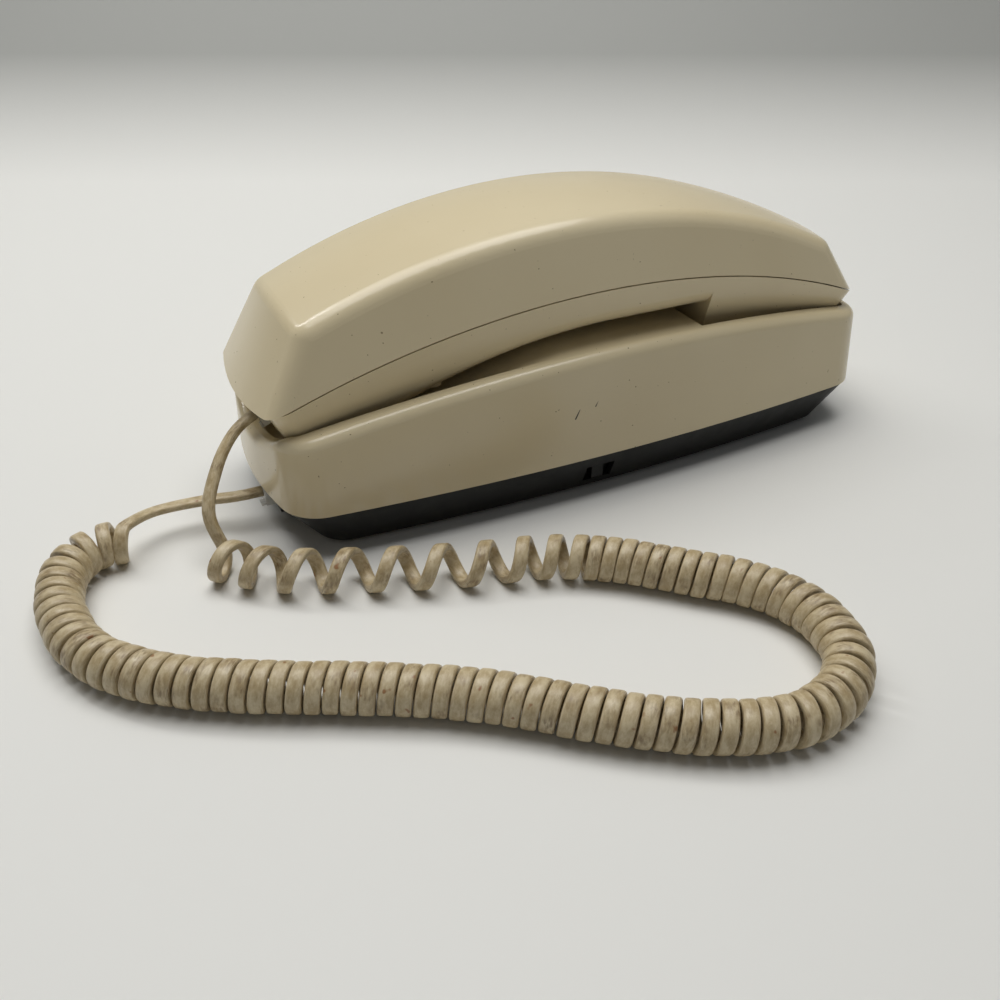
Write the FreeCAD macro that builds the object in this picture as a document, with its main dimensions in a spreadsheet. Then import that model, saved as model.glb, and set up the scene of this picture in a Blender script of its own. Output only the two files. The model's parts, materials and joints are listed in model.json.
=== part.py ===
import FreeCAD, Part
import Sketcher
import math
import os
import re

# Slimline telephone: an arched handset with the keys in its face, lying face down on a long base.
# X runs along the phone (+X the ear end, -X the mouth end where the cords leave), Z is up,
# and the origin is the middle of the base, on the surface that its feet stand on. Millimetres.

SIZES = [
    ("base_half_long", 107.6, "half length of the base at its colour seam"),
    ("base_half_wide", 40.3, "half width of the base at its colour seam"),
    ("base_top_inset", 3.4, "how far the housing sides lean in up to the rim"),
    ("base_end_inset", 1.2, "how far the housing ends lean in up to the rim"),
    ("side_bow_radius", 880, "plan radius of the long sides of the base"),
    ("end_bow_radius", 120, "plan radius of the ends of the base"),
    ("base_corner_radius", 13, "plan radius of the base corners"),
    ("seam_height", 15, "where the cream housing meets the black pan"),
    ("seam_gap", 0.4, "shadow line between housing and pan"),
    ("rim_height", 49, "highest point of the housing rim"),
    ("rim_peak_x", 8, "where the rim is highest"),
    ("rim_arc_radius", 530, "side view radius of the rim"),
    ("rim_round", 3.4, "rounding of the outer rim edge"),
    ("base_wall", 2.4, "wall of the housing"),
    ("lip_low_height", 30, "lowest point of the scooped lip at the mouth end"),
    ("lip_scoop_radius", 44, "radius of the scoop in the lip"),
    ("lip_round", 2.5, "rounding of the scooped lip"),
    ("lip_scoop_end_x", -95, "how far in the lip scoop runs"),
    ("cradle_half_wide", 33.3, "half width of the cradle opening"),
    ("cradle_near_x", -104.5, "mouth end of the cradle opening"),
    ("cradle_far_x", 103.3, "ear end of the cradle opening"),
    ("cradle_draft", 3, "how much narrower the cradle is at its floor"),
    ("ear_well_x", 33.5, "where the saddle drops into the ear well"),
    ("saddle_gap", 3.6, "space between handset and saddle"),
    ("seat_gap", 0.3, "space between handset and what it rests on"),
    ("seat_near_x", -93, "mouth end of the seat for the mouthpiece"),
    ("seat_far_x", -73, "ear end of the seat for the mouthpiece"),
    ("pan_low", 1.6, "underside of the pan"),
    ("pan_wall", 2.2, "wall of the pan"),
    ("pan_taper_wide", 5.8, "how far the pan sides lean in downward"),
    ("pan_taper_long", 10.8, "how far the pan ends lean in downward"),
    ("stud_spacing", 82.6, "distance between the two wall plate studs"),
    ("keyhole_round", 4.8, "radius of the round end of a keyhole"),
    ("keyhole_slot", 2.7, "half width of the narrow end of a keyhole"),
    ("keyhole_travel", 8, "from the middle of the round end to the stud's seat"),
    ("foot_radius", 5, "rubber foot"),
    ("foot_recess", 0.6, "how deep a foot sits in the pan"),
    ("foot_near_x", -88, "feet at the mouth end"),
    ("foot_far_x", 74, "feet at the ear end"),
    ("foot_near_y", 18, "feet at the mouth end, from the middle"),
    ("foot_far_y", 22, "feet at the ear end, from the middle"),
    ("pan_screw_near_x", -72, "pan screws at the mouth end"),
    ("pan_screw_far_x", 86, "pan screws at the ear end"),
    ("pan_screw_near_y", 24.5, "pan screws at the mouth end, from the middle"),
    ("pan_screw_far_y", 22.5, "pan screws at the ear end, from the middle"),
    ("screw_radius", 1.4, "shank of the self-tapping screws"),
    ("screw_head_radius", 3, "head of the screws"),
    ("screw_head_high", 1.6, "height of a screw head"),
    ("screw_long", 12, "shank length"),
    ("boss_radius", 3.6, "screw bosses"),
    ("fit_gap", 0.1, "clearance of fitted pieces"),
    ("seam_peak", 66.4, "highest point of the handset's parting line"),
    ("seam_arc_radius", 264, "side view radius of the parting line"),
    ("parting_gap", 0.4, "dark line between the two handset shells"),
    ("crest_height", 88, "highest point of the handset"),
    ("crest_x", -5, "where the handset is highest"),
    ("crest_arc_radius", 215, "side view radius of the handset's back"),
    ("crown_rise", 2.2, "how much the back rises from ridge to middle"),
    ("handset_half_wide", 32, "half width of the handset at the parting line"),
    ("handset_bow_radius", 1300, "plan radius of the handset's sides"),
    ("back_lean", 0.32, "sideways lean of the back cover, per mm of height"),
    ("face_lean", 0.26, "sideways lean of the face shell, per mm of depth"),
    ("near_tip_x", -107.4, "mouth end of the handset at the parting line"),
    ("far_tip_x", 103.8, "ear end of the handset at the parting line"),
    ("tip_height", 46, "height of the tips"),
    ("near_back_lean", 0.56, "lean of the back cover's mouth end"),
    ("far_back_lean", 0.68, "lean of the back cover's ear end"),
    ("near_face_lean", 0.52, "lean of the face shell's mouth end"),
    ("far_face_lean", 0.50, "lean of the face shell's ear end"),
    ("tip_bow_radius", 130, "plan radius of the handset's ends"),
    ("handset_corner", 7, "rounding of the handset's upright corners"),
    ("ridge_round", 6.5, "rounding of the ridge along the back"),
    ("handset_wall", 2.4, "wall of the handset shells"),
    ("grip_height", 53.2, "underside of the grip"),
    ("grip_arc_x", 3, "where the grip's underside turns level"),
    ("grip_arc_radius", 164, "side view radius of the grip's underside"),
    ("mouth_face_x", -64, "where the arc runs out into the flat mouthpiece"),
    ("ear_block_x", 38, "where the ear block begins"),
    ("ear_face_near_z", 37.8, "ear face at the grip side"),
    ("ear_face_far_x", 95, "far end of the ear face"),
    ("ear_face_far_z", 30.4, "ear face at its far end"),
    ("ear_hole_radius", 1.1, "sound holes"),
    ("ear_ring_radius", 5, "inner ring of sound holes"),
    ("receiver_radius", 17.5, "receiver capsule"),
    ("receiver_high", 9, "receiver capsule"),
    ("gasket_high", 1, "foam ring in front of a capsule"),
    ("mic_x", -72, "middle of the microphone capsule"),
    ("mic_radius", 10.5, "microphone capsule"),
    ("mic_high", 7, "microphone capsule"),
    ("screw_seat", 2.2, "where a shell screw's head seats, above the face"),
    ("screw_pad_top", 4.7, "top of the pad round a shell screw, above the face"),
    ("keypad_x", -17.5, "middle of the twelve keys"),
    ("key_long", 9.6, "key, along the handset"),
    ("key_wide", 11.4, "key, across the handset"),
    ("key_pitch_long", 14, "row to row"),
    ("key_pitch_wide", 14.6, "column to column"),
    ("key_proud", 1.5, "how far a key stands out of the face"),
    ("key_travel", 1.2, "how far a key goes in"),
    ("key_gap", 0.3, "clearance round a key"),
    ("key_flange", 0.8, "rim that keeps a key in"),
    ("key_flange_high", 0.8, "thickness of that rim"),
    ("key_flange_z", 3.5, "start of that rim, above the face"),
    ("key_corner", 1.6, "corner radius of a key"),
    ("service_key_wide", 17, "the two wide keys, across the handset"),
    ("service_key_long", 6.4, "the two wide keys, along the handset"),
    ("service_row", 34.5, "from the keypad's middle to the wide keys"),
    ("service_key_y", 11.2, "middle of a wide key, from the centre line"),
    ("mat_high", 1.2, "rubber key mat"),
    ("board_high", 1.6, "circuit boards"),
    ("jack_wide", 12.4, "modular jack, across"),
    ("jack_long", 13.5, "modular jack, depth"),
    ("jack_high", 10.6, "modular jack, height"),
    ("plug_wide", 7.7, "modular plug, across"),
    ("plug_high", 6.5, "modular plug, height"),
    ("plug_long", 12, "modular plug, length"),
    ("plug_out", 2.8, "how far a plug stands out of its opening"),
    ("plug_gap", 0.2, "clearance round a plug"),
    ("handset_jack_x", -101.9, "opening of the handset's jack"),
    ("handset_jack_z", 37.6, "opening of the handset's jack"),
    ("cord_side_y", -4.5, "how far off the centre line both cord jacks sit"),
    ("jack_tilt", 25, "slope of the handset's jack in degrees"),
    ("base_jack_z", 9.6, "middle of the jacks in the base"),
    ("base_jack_x", -102.5, "opening of the jacks in the base"),
    ("base_plug_out", 3.6, "how far the plug stands out of the base"),
    ("line_jack_y", 20.5, "line jack, from the centre line"),
    ("card_near_x", -17, "number card"),
    ("card_far_x", 10, "number card"),
    ("card_half_wide", 17, "number card"),
    ("card_high", 0.3, "number card"),
    ("window_high", 1.1, "clear cover of the number card"),
    ("plunger_x", 21.5, "hook plunger"),
    ("plunger_long", 9, "hook plunger, along the phone"),
    ("plunger_wide", 14, "hook plunger, across"),
    ("plunger_travel", 3, "how far the hook plunger rises"),
    ("plunger_flange", 1.6, "rim that keeps the plunger in"),
    ("stem_radius", 2.4, "stem under the plunger"),
    ("spring_wire", 0.7, "wire of the plunger spring"),
    ("spring_radius", 4, "middle radius of the plunger spring"),
    ("spring_turns", 4, "turns of the plunger spring"),
    ("switch_top", 30, "top of the hook switch plate"),
    ("tab_wide", 12, "wall tab"),
    ("tab_thick", 1.8, "wall tab"),
    ("tab_deep", 9, "wall tab"),
    ("gong_x", 62, "middle of the bell"),
    ("gong_radius", 27, "bell"),
    ("gong_low", 8.5, "open edge of the bell"),
    ("gong_high", 13, "height of the bell"),
    ("gong_wall", 1.4, "wall of the bell"),
    ("coil_x", 8, "ringer coil"),
    ("coil_radius", 7.4, "ringer coil"),
    ("coil_half_long", 13, "ringer coil"),
    ("coil_height", 14.6, "middle of the ringer coil"),
    ("arm_x", 20, "ringer armature"),
    ("arm_pivot_y", 12, "pivot of the ringer armature"),
    ("clapper_x", 34, "clapper ball"),
    ("clapper_y", -12, "clapper ball"),
    ("clapper_radius", 2.5, "clapper ball"),
    ("clapper_height", 14.6, "middle of the clapper and its arm"),
    ("window_near_x", -9.9, "opening for the loudness slider"),
    ("window_far_x", 0.3, "opening for the loudness slider"),
    ("window_low", 4, "opening for the loudness slider"),
    ("window_top", 10.4, "opening for the loudness slider"),
    ("slider_long", 4.2, "thumb piece of the loudness slider"),
    ("slider_travel", 2.6, "how far the slider goes each way"),
    ("net_near_x", -84, "network board"),
    ("net_far_x", -25, "network board"),
    ("net_half_wide", 19, "network board"),
    ("net_height", 9, "underside of the network board"),
    ("cord_wire", 3.2, "diameter of the cord in its curls"),
    ("cord_wide", 4, "diameter of the straight cord"),
    ("curl_outer", 13, "outer diameter of the curls"),
    ("tight_pitch", 4.45, "turn to turn where the curls lie shut"),
    ("turn_gap", 0.85, "space asked for between two turns in a bend"),
    ("curl_sides", 6, "flats round the curled cord"),
]

# The cord as it lies: outer corner points of the curled cord's centre line on the table,
# and the free straight ends from each plug down to the curls.
CURL_ROUTE = [
    (-127, -28), (-115.5, -40.5), (-97, -49.5), (-79, -57), (-60, -64), (-41, -69),
    (-24, -79), (-9, -93.5), (4, -105), (12, -122), (7, -143), (-14, -153), (-36, -146),
    (-58, -131), (-80, -111.5), (-104, -97.5), (-128, -85.5), (-149, -73), (-165, -56),
    (-169.5, -34), (-166.5, -18), (-160.5, -10), (-152, -7.5), (-147.5, -9),
]
OPEN_PITCHES = [7.5, 9.5, 11, 12, 13.5, 12.5, 13.5, 11.5, 9.5, 7.5, 6]
HANDSET_LEAD = [
    (-108.6, -4.5, 34.48), (-112.8, -6.2, 31.8), (-117, -9, 28), (-120.8, -12.8, 23.2),
    (-124.2, -16.8, 18), (-125.2, -20.2, 13.4),
]
BASE_LEAD = [
    (-113.6, -4.5, 9.6), (-120.5, -1.6, 9.1), (-127.5, -0.4, 8.9), (-134.5, -0.6, 9.3),
    (-140.6, -2.6, 10.2),
]
KEY_NAMES = [
    ["key_1", "key_2", "key_3"],
    ["key_4", "key_5", "key_6"],
    ["key_7", "key_8", "key_9"],
    ["key_star", "key_0", "key_hash"],
]

doc = FreeCAD.newDocument("slimline_phone")
sheet = doc.addObject("Spreadsheet::Sheet", "dims")
for row, (alias, value, note) in enumerate(SIZES, start=1):
    sheet.set("A%d" % row, str(value))
    sheet.setAlias("A%d" % row, alias)
    sheet.set("B%d" % row, note)
doc.recompute()
ALIASES = {alias for alias, value, note in SIZES}
D = {alias: float(sheet.get(alias)) for alias in ALIASES}
V = FreeCAD.Vector
NODES = []


def formula(text):
    """Write a size formula with its names pointing at the sheet."""
    return re.sub(r"[a-z][a-z_]*", lambda m: "dims." + m.group(0) if m.group(0) in ALIASES else m.group(0), text)


def bind(item, **sizes):
    """Tie properties of an object to formulas over the sheet."""
    for prop, text in sizes.items():
        item.setExpression(prop, formula(text))


def place(item, x="0", y="0", z="0", axis=None, angle=0):
    """Put an object at a place given by formulas, turned about one axis."""
    turn = FreeCAD.Rotation(axis, angle) if axis else FreeCAD.Rotation()
    item.Placement = FreeCAD.Placement(V(0, 0, 0), turn)
    item.setExpression(".Placement.Base.x", formula(x))
    item.setExpression(".Placement.Base.y", formula(y))
    item.setExpression(".Placement.Base.z", formula(z))


def keep(item, label):
    """Mark an object as a finished sub-part."""
    item.Label = label
    NODES.append(item)
    return item


# Part primitives and booleans

def box(x, y, z, long, wide, high):
    item = doc.addObject("Part::Box", "block")
    bind(item, Length=long, Width=wide, Height=high)
    place(item, x, y, z)
    return item


def rod(x, y, z, radius, high, axis=None, angle=0):
    item = doc.addObject("Part::Cylinder", "rod")
    bind(item, Radius=radius, Height=high)
    place(item, x, y, z, axis, angle)
    return item


def join(pieces):
    if len(pieces) == 1:
        return pieces[0]
    item = doc.addObject("Part::MultiFuse", "joined")
    item.Shapes = pieces
    return item


def group(pieces):
    item = doc.addObject("Part::Compound", "group")
    item.Links = pieces
    return item


def cut(base, tools):
    item = doc.addObject("Part::Cut", "cut")
    item.Base = base
    item.Tool = join(tools)
    return item


def formed(shape, name="form"):
    item = doc.addObject("Part::Feature", name)
    item.Shape = shape
    return item


# Bodies, sketches and their features

def new_body(name):
    return doc.addObject("PartDesign::Body", name)


def new_sketch(body, role="XY_Plane", offset="0"):
    sketch = body.newObject("Sketcher::SketchObject", "sketch")
    origin_plane = [f for f in body.Origin.OriginFeatures if f.Role == role][0]
    sketch.AttachmentSupport = [(origin_plane, "")]
    sketch.MapMode = "FlatFace"
    sketch.setExpression(".AttachmentOffset.Base.z", formula(offset))
    return sketch


def measure(sketch, kind, geometry, point, text):
    """Hold one point of a sketch at a distance from the origin given by a formula."""
    index = sketch.addConstraint(Sketcher.Constraint(kind, -1, 1, geometry, point, 1.0))
    sketch.setExpression("Constraints[%d]" % index, formula(text))


def rectangle(sketch, left, right, low, high):
    first = sketch.GeometryCount
    corners = [V(0, 0, 0), V(1, 0, 0), V(1, 1, 0), V(0, 1, 0)]
    for i in range(4):
        sketch.addGeometry(Part.LineSegment(corners[i], corners[(i + 1) % 4]), False)
    for i in range(4):
        sketch.addConstraint(Sketcher.Constraint("Coincident", first + i, 2, first + (i + 1) % 4, 1))
    for i in (0, 2):
        sketch.addConstraint(Sketcher.Constraint("Horizontal", first + i))
        sketch.addConstraint(Sketcher.Constraint("Vertical", first + i + 1))
    measure(sketch, "DistanceX", first, 1, left)
    measure(sketch, "DistanceX", first, 2, right)
    measure(sketch, "DistanceY", first, 1, low)
    measure(sketch, "DistanceY", first + 2, 1, high)


def circle(sketch, x, y, radius):
    index = sketch.addGeometry(Part.Circle(V(1, 1, 0), V(0, 0, 1), 1), False)
    measure(sketch, "DistanceX", index, 3, x)
    measure(sketch, "DistanceY", index, 3, y)
    row = sketch.addConstraint(Sketcher.Constraint("Radius", index, 1.0))
    sketch.setExpression("Constraints[%d]" % row, formula(radius))


def outline(sketch, edges):
    """Put a ready outline of lines and arcs into a sketch and lock it."""
    for edge in edges:
        index = sketch.addGeometry(edge, False)
        sketch.addConstraint(Sketcher.Constraint("Block", index))


def pad(body, sketch, length, reverse=False, both=False, taper=None):
    item = body.newObject("PartDesign::Pad", "pad")
    item.Profile = sketch
    bind(item, Length=length)
    item.Reversed = reverse
    item.Midplane = both
    if taper:
        bind(item, TaperAngle=taper)
    body.Tip = item
    return item


def pocket(body, sketch, length=None, reverse=False, both=False):
    item = body.newObject("PartDesign::Pocket", "pocket")
    item.Profile = sketch
    if length:
        bind(item, Length=length)
    else:
        item.Type = "ThroughAll"
    item.Reversed = reverse
    item.Midplane = both
    body.Tip = item
    return item


def loft(body, sketches, cutting=False):
    kind = "PartDesign::SubtractiveLoft" if cutting else "PartDesign::AdditiveLoft"
    item = body.newObject(kind, "loft")
    item.Profile = sketches[0]
    item.Sections = sketches[1:]
    item.Ruled = True
    body.Tip = item
    return item


def revolve(body, sketch, cutting=False):
    kind = "PartDesign::Groove" if cutting else "PartDesign::Revolution"
    item = body.newObject(kind, "turned")
    item.Profile = sketch
    item.ReferenceAxis = (sketch, ["V_Axis"])
    item.Angle = 360
    body.Tip = item
    return item


def soften(body, radius, chosen, kind="PartDesign::Fillet"):
    """Round the edges of the body's tip that the test picks."""
    doc.recompute()
    base = body.Tip
    names = ["Edge%d" % (i + 1) for i, edge in enumerate(base.Shape.Edges) if chosen(edge)]
    item = body.newObject(kind, "rounding")
    item.Base = (base, names)
    if kind == "PartDesign::Fillet":
        bind(item, Radius=radius)
    else:
        bind(item, Size=radius)
    body.Tip = item
    return item


# Outlines

def bowed_plan(half_long, half_wide, corner, side_radius, end_radius):
    """Plan outline of four shallow arcs and four round corners, all tangent."""
    side_centre = V(0, half_wide - side_radius, 0)
    end_centre = V(half_long - end_radius, 0, 0)
    reach_side = side_radius - corner
    reach_end = end_radius - corner
    apart = end_centre - side_centre
    length = apart.Length
    along = (reach_side ** 2 - reach_end ** 2 + length ** 2) / (2 * length)
    off = math.sqrt(reach_side ** 2 - along ** 2)
    unit = V(apart)
    unit.normalize()
    corner_centre = side_centre + unit * along + V(-unit.y, unit.x, 0) * off
    if corner_centre.y < 0 or corner_centre.x < 0:
        corner_centre = side_centre + unit * along - V(-unit.y, unit.x, 0) * off
    to_side = corner_centre - side_centre
    to_side.normalize()
    to_end = corner_centre - end_centre
    to_end.normalize()
    on_side = corner_centre + to_side * corner
    on_end = corner_centre + to_end * corner
    middle = to_side + to_end
    middle.normalize()
    on_corner = corner_centre + middle * corner

    def flip(point, sx, sy):
        return V(point.x * sx, point.y * sy, 0)

    edges = []
    edges.append(Part.Arc(flip(on_side, -1, 1), V(0, half_wide, 0), on_side))
    edges.append(Part.Arc(on_side, on_corner, on_end))
    edges.append(Part.Arc(on_end, V(half_long, 0, 0), flip(on_end, 1, -1)))
    edges.append(Part.Arc(flip(on_end, 1, -1), flip(on_corner, 1, -1), flip(on_side, 1, -1)))
    edges.append(Part.Arc(flip(on_side, 1, -1), V(0, -half_wide, 0), flip(on_side, -1, -1)))
    edges.append(Part.Arc(flip(on_side, -1, -1), flip(on_corner, -1, -1), flip(on_end, -1, -1)))
    edges.append(Part.Arc(flip(on_end, -1, -1), V(-half_long, 0, 0), flip(on_end, -1, 1)))
    edges.append(Part.Arc(flip(on_end, -1, 1), flip(on_corner, -1, 1), flip(on_side, -1, 1)))
    return edges


def base_plan(long_inset, wide_inset, corner_inset):
    """The base's plan outline, drawn in by the given amounts."""
    return bowed_plan(
        D["base_half_long"] - long_inset,
        D["base_half_wide"] - wide_inset,
        max(D["base_corner_radius"] - corner_inset, 2),
        D["side_bow_radius"] - wide_inset,
        D["end_bow_radius"] - long_inset,
    )


def arc_height(x, peak_x, peak, radius):
    """Height at x of an arc that is highest at peak_x."""
    return peak - radius + math.sqrt(radius ** 2 - (x - peak_x) ** 2)


def rim_z(x):
    return arc_height(x, D["rim_peak_x"], D["rim_height"], D["rim_arc_radius"])


def seam_z(x):
    return arc_height(x, 0, D["seam_peak"], D["seam_arc_radius"])


def crest_z(x):
    return arc_height(x, D["crest_x"], D["crest_height"], D["crest_arc_radius"])


def grip_z(x):
    """Underside of the handset from the mouthpiece to the ear block."""
    if x >= D["grip_arc_x"]:
        return D["grip_height"]
    if x >= D["mouth_face_x"]:
        return arc_height(x, D["grip_arc_x"], D["grip_height"], D["grip_arc_radius"])
    run = D["grip_arc_x"] - D["mouth_face_x"]
    slope = run / math.sqrt(D["grip_arc_radius"] ** 2 - run ** 2)
    return grip_z(D["mouth_face_x"]) + (x - D["mouth_face_x"]) * slope


def ear_z(x):
    """Level of the tilted ear face."""
    share = (x - D["ear_block_x"]) / (D["ear_face_far_x"] - D["ear_block_x"])
    return D["ear_face_near_z"] + share * (D["ear_face_far_z"] - D["ear_face_near_z"])


def line(a, b):
    return Part.LineSegment(V(a[0], a[1], 0), V(b[0], b[1], 0))


def bend(a, middle, b):
    return Part.Arc(V(a[0], a[1], 0), V(middle[0], middle[1], 0), V(b[0], b[1], 0))


def underside_profile(raise_by, near_x, far_x, low):
    """Side view region below the handset's face, raised by a wall thickness."""
    knee = D["mouth_face_x"]
    level = D["grip_arc_x"]
    block = D["ear_block_x"] + raise_by
    mid = (knee + level) / 2
    points = {
        "near": (near_x, grip_z(near_x) + raise_by),
        "knee": (knee, grip_z(knee) + raise_by),
        "mid": (mid, grip_z(mid) + raise_by),
        "level": (level, grip_z(level) + raise_by),
        "edge": (block, D["grip_height"] + raise_by),
        "ear": (block, ear_z(block) + raise_by),
        "far": (far_x, ear_z(far_x) + raise_by),
    }
    return [
        line((near_x, low), points["near"]),
        line(points["near"], points["knee"]),
        bend(points["knee"], points["mid"], points["level"]),
        line(points["level"], points["edge"]),
        line(points["edge"], points["ear"]),
        line(points["ear"], points["far"]),
        line(points["far"], (far_x, low)),
        line((far_x, low), (near_x, low)),
    ]


# Base

def cradle_floor(drop, near_x, far_x, well_x):
    """Side view line of the cradle's floor from the mouth end to the ear end, lowered by a wall."""
    knee = D["mouth_face_x"]
    level = D["grip_arc_x"]
    gap = D["saddle_gap"] + drop
    seat = D["seat_gap"] + drop
    mid = (knee + level) / 2
    seat_near = D["seat_near_x"] + drop
    seat_far = D["seat_far_x"] - drop
    ramp = 2
    corners = [
        (near_x, grip_z(seat_near) - gap),
        (seat_near - ramp, grip_z(seat_near) - gap),
        (seat_near, grip_z(seat_near) - seat),
        (seat_far, grip_z(seat_far) - seat),
        (seat_far + ramp, grip_z(seat_far + ramp) - gap),
        (knee, grip_z(knee) - gap),
    ]
    edges = [line(a, b) for a, b in zip(corners, corners[1:])]
    edges.append(bend(corners[-1], (mid, grip_z(mid) - gap), (level, grip_z(level) - gap)))
    edges.append(line((level, grip_z(level) - gap), (well_x, grip_z(level) - gap)))
    edges.append(line((well_x, grip_z(level) - gap), (well_x, ear_z(well_x) - seat)))
    edges.append(line((well_x, ear_z(well_x) - seat), (far_x, ear_z(far_x) - seat)))
    return edges


def closed_to(edges, level):
    """Close a side view line with a straight line at one level."""
    first = edges[0].StartPoint
    last = edges[-1].EndPoint
    rest = [(last.x, last.y), (last.x, level), (first.x, level), (first.x, first.y)]
    return edges + [line(a, b) for a, b in zip(rest, rest[1:])]


def on_outer_rim(edge):
    """True for an edge that lies on the outer skin of the housing."""
    first, last = edge.ParameterRange
    for share in (0.25, 0.5, 0.75):
        point = edge.valueAt(first + (last - first) * share)
        along = abs(point.x) / D["base_half_long"]
        side_y = D["base_half_wide"] - D["base_top_inset"] * 1.2 - 7 * along ** 2
        at_side = abs(point.y) > side_y - 2.5
        at_end = abs(point.x) > D["base_half_long"] - 9
        if not (at_side or at_end):
            return False
    return True


def on_scoop(edge):
    """True for the outer edge of the scoop in the lip."""
    size = edge.BoundBox
    at_end = size.XMax < 4 - D["base_half_long"] and size.YLength > D["rim_round"] * 3
    return at_end and abs(size.ZMin - D["lip_low_height"]) < 1


def housing_skin():
    """Outside of the housing: leaning walls, the rim's arc, the scooped lip and the round rim."""
    body = new_body("housing_skin")
    low = new_sketch(body, offset="seam_height")
    outline(low, base_plan(0, 0, 0))
    high = new_sketch(body, offset="rim_height + 3")
    outline(high, base_plan(D["base_end_inset"], D["base_top_inset"], 0))
    loft(body, [low, high])
    side = new_sketch(body, "XZ_Plane")
    reach = D["base_half_long"] + 10
    rim = bend((-reach, rim_z(-reach)), (D["rim_peak_x"], D["rim_height"]), (reach, rim_z(reach)))
    outline(side, closed_to([rim], D["rim_height"] + 20))
    pocket(body, side, both=True)
    lowest = D["lip_low_height"]
    soften(body, "rim_round", lambda edge: edge.BoundBox.ZMin > lowest and on_outer_rim(edge))
    scoop = new_sketch(body, "YZ_Plane", offset="lip_scoop_end_x")
    circle(scoop, "0", "lip_low_height + lip_scoop_radius", "lip_scoop_radius")
    pocket(body, scoop, length="base_half_long + lip_scoop_end_x + 20")
    soften(body, "lip_round", on_scoop)
    wall = D["base_wall"]
    room_low = new_sketch(body, offset="seam_height")
    outline(room_low, base_plan(wall, wall, wall))
    room_high = new_sketch(body, offset="seam_height + 5")
    outline(room_high, base_plan(wall + 0.2, wall + 0.6, wall))
    loft(body, [room_low, room_high], cutting=True)
    return body


def cradle_hollow():
    """The opening that the handset lies in: a leaning plan outline above the cradle's floor."""
    body = new_body("cradle_plan")
    inset_wide = D["base_half_wide"] - D["cradle_half_wide"]
    inset_long = D["base_half_long"] - (D["cradle_far_x"] - D["cradle_near_x"]) / 2
    low = new_sketch(body, offset="seam_height + 5")
    outline(low, base_plan(inset_long + D["cradle_draft"], inset_wide + D["cradle_draft"], 10))
    high = new_sketch(body, offset="rim_height + 5")
    outline(high, base_plan(inset_long, inset_wide, 8))
    loft(body, [low, high])
    place(body, x="(cradle_far_x + cradle_near_x) / 2")
    floor = new_body("cradle_floor")
    side = new_sketch(floor, "XZ_Plane")
    reach = D["base_half_long"] + 5
    outline(side, closed_to(cradle_floor(0, -reach, reach, D["ear_well_x"]), D["rim_height"] + 10))
    pad(floor, side, "2 * base_half_wide", both=True)
    item = doc.addObject("Part::Common", "cradle_hollow")
    item.Base = body
    item.Tool = floor
    return item


def housing_room():
    """The room under the saddle and the ear well."""
    body = new_body("housing_room")
    side = new_sketch(body, "XZ_Plane")
    drop = D["base_wall"] + 1.8
    well_x = D["ear_well_x"] - D["tab_thick"] - D["base_wall"]
    chain = cradle_floor(drop, D["seat_near_x"] - 2, D["base_half_long"] - 10, well_x)
    outline(side, closed_to(chain, D["seam_height"] - 2))
    pad(body, side, "2 * (cradle_half_wide - cradle_draft)", both=True)
    return body


def screw_places():
    """The four pan screws: x, y and how high their bosses reach into the cradle's floor."""
    skin = (D["base_wall"] + 1.8) / 2
    near_top = "%g" % (grip_z(D["pan_screw_near_x"]) - D["saddle_gap"] - skin)
    far_top = "%g" % (ear_z(D["pan_screw_far_x"]) - D["seat_gap"] - skin)
    rows = []
    for side in ("", "-"):
        rows.append(("pan_screw_near_x", side + "pan_screw_near_y", near_top))
        rows.append(("pan_screw_far_x", side + "pan_screw_far_y", far_top))
    return rows


BOSS_FOOT = "pan_low + 2 * screw_head_high + 0.65"
CARD_FLOOR = "rim_height - 2"


def make_base_housing():
    holes = [cradle_hollow(), housing_room()]
    holes.append(box("plunger_x - plunger_long / 2 - fit_gap", "-plunger_wide / 2 - fit_gap", "rim_height - 9",
                     "plunger_long + 2 * fit_gap", "plunger_wide + 2 * fit_gap", "12"))
    holes.append(box("card_near_x - fit_gap", "-card_half_wide - fit_gap", CARD_FLOOR,
                     "card_far_x - card_near_x + 2 * fit_gap", "2 * (card_half_wide + fit_gap)", "5"))
    holes.append(box("ear_well_x - tab_thick - fit_gap", "-tab_wide / 2 - fit_gap", "rim_height - tab_deep - 0.6",
                     "tab_thick + 2", "tab_wide + 2 * fit_gap", "tab_deep + 5"))
    hollowed = cut(housing_skin(), holes)
    adds = [hollowed]
    pilots = []
    for x, y, top in screw_places():
        adds.append(rod(x, y, BOSS_FOOT, "boss_radius", top + " - (" + BOSS_FOOT + ")"))
        pilots.append(rod(x, y, BOSS_FOOT + " - 1", "screw_radius + 0.05", "screw_long + 1"))
    for y in ("plunger_wide / 2 + 6.5", "-plunger_wide / 2 - 6.5"):
        adds.append(rod("plunger_x", y, "switch_top", "2.8", "rim_height - 2.6 - switch_top"))
    return keep(cut(join(adds), pilots), "base_housing")


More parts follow.
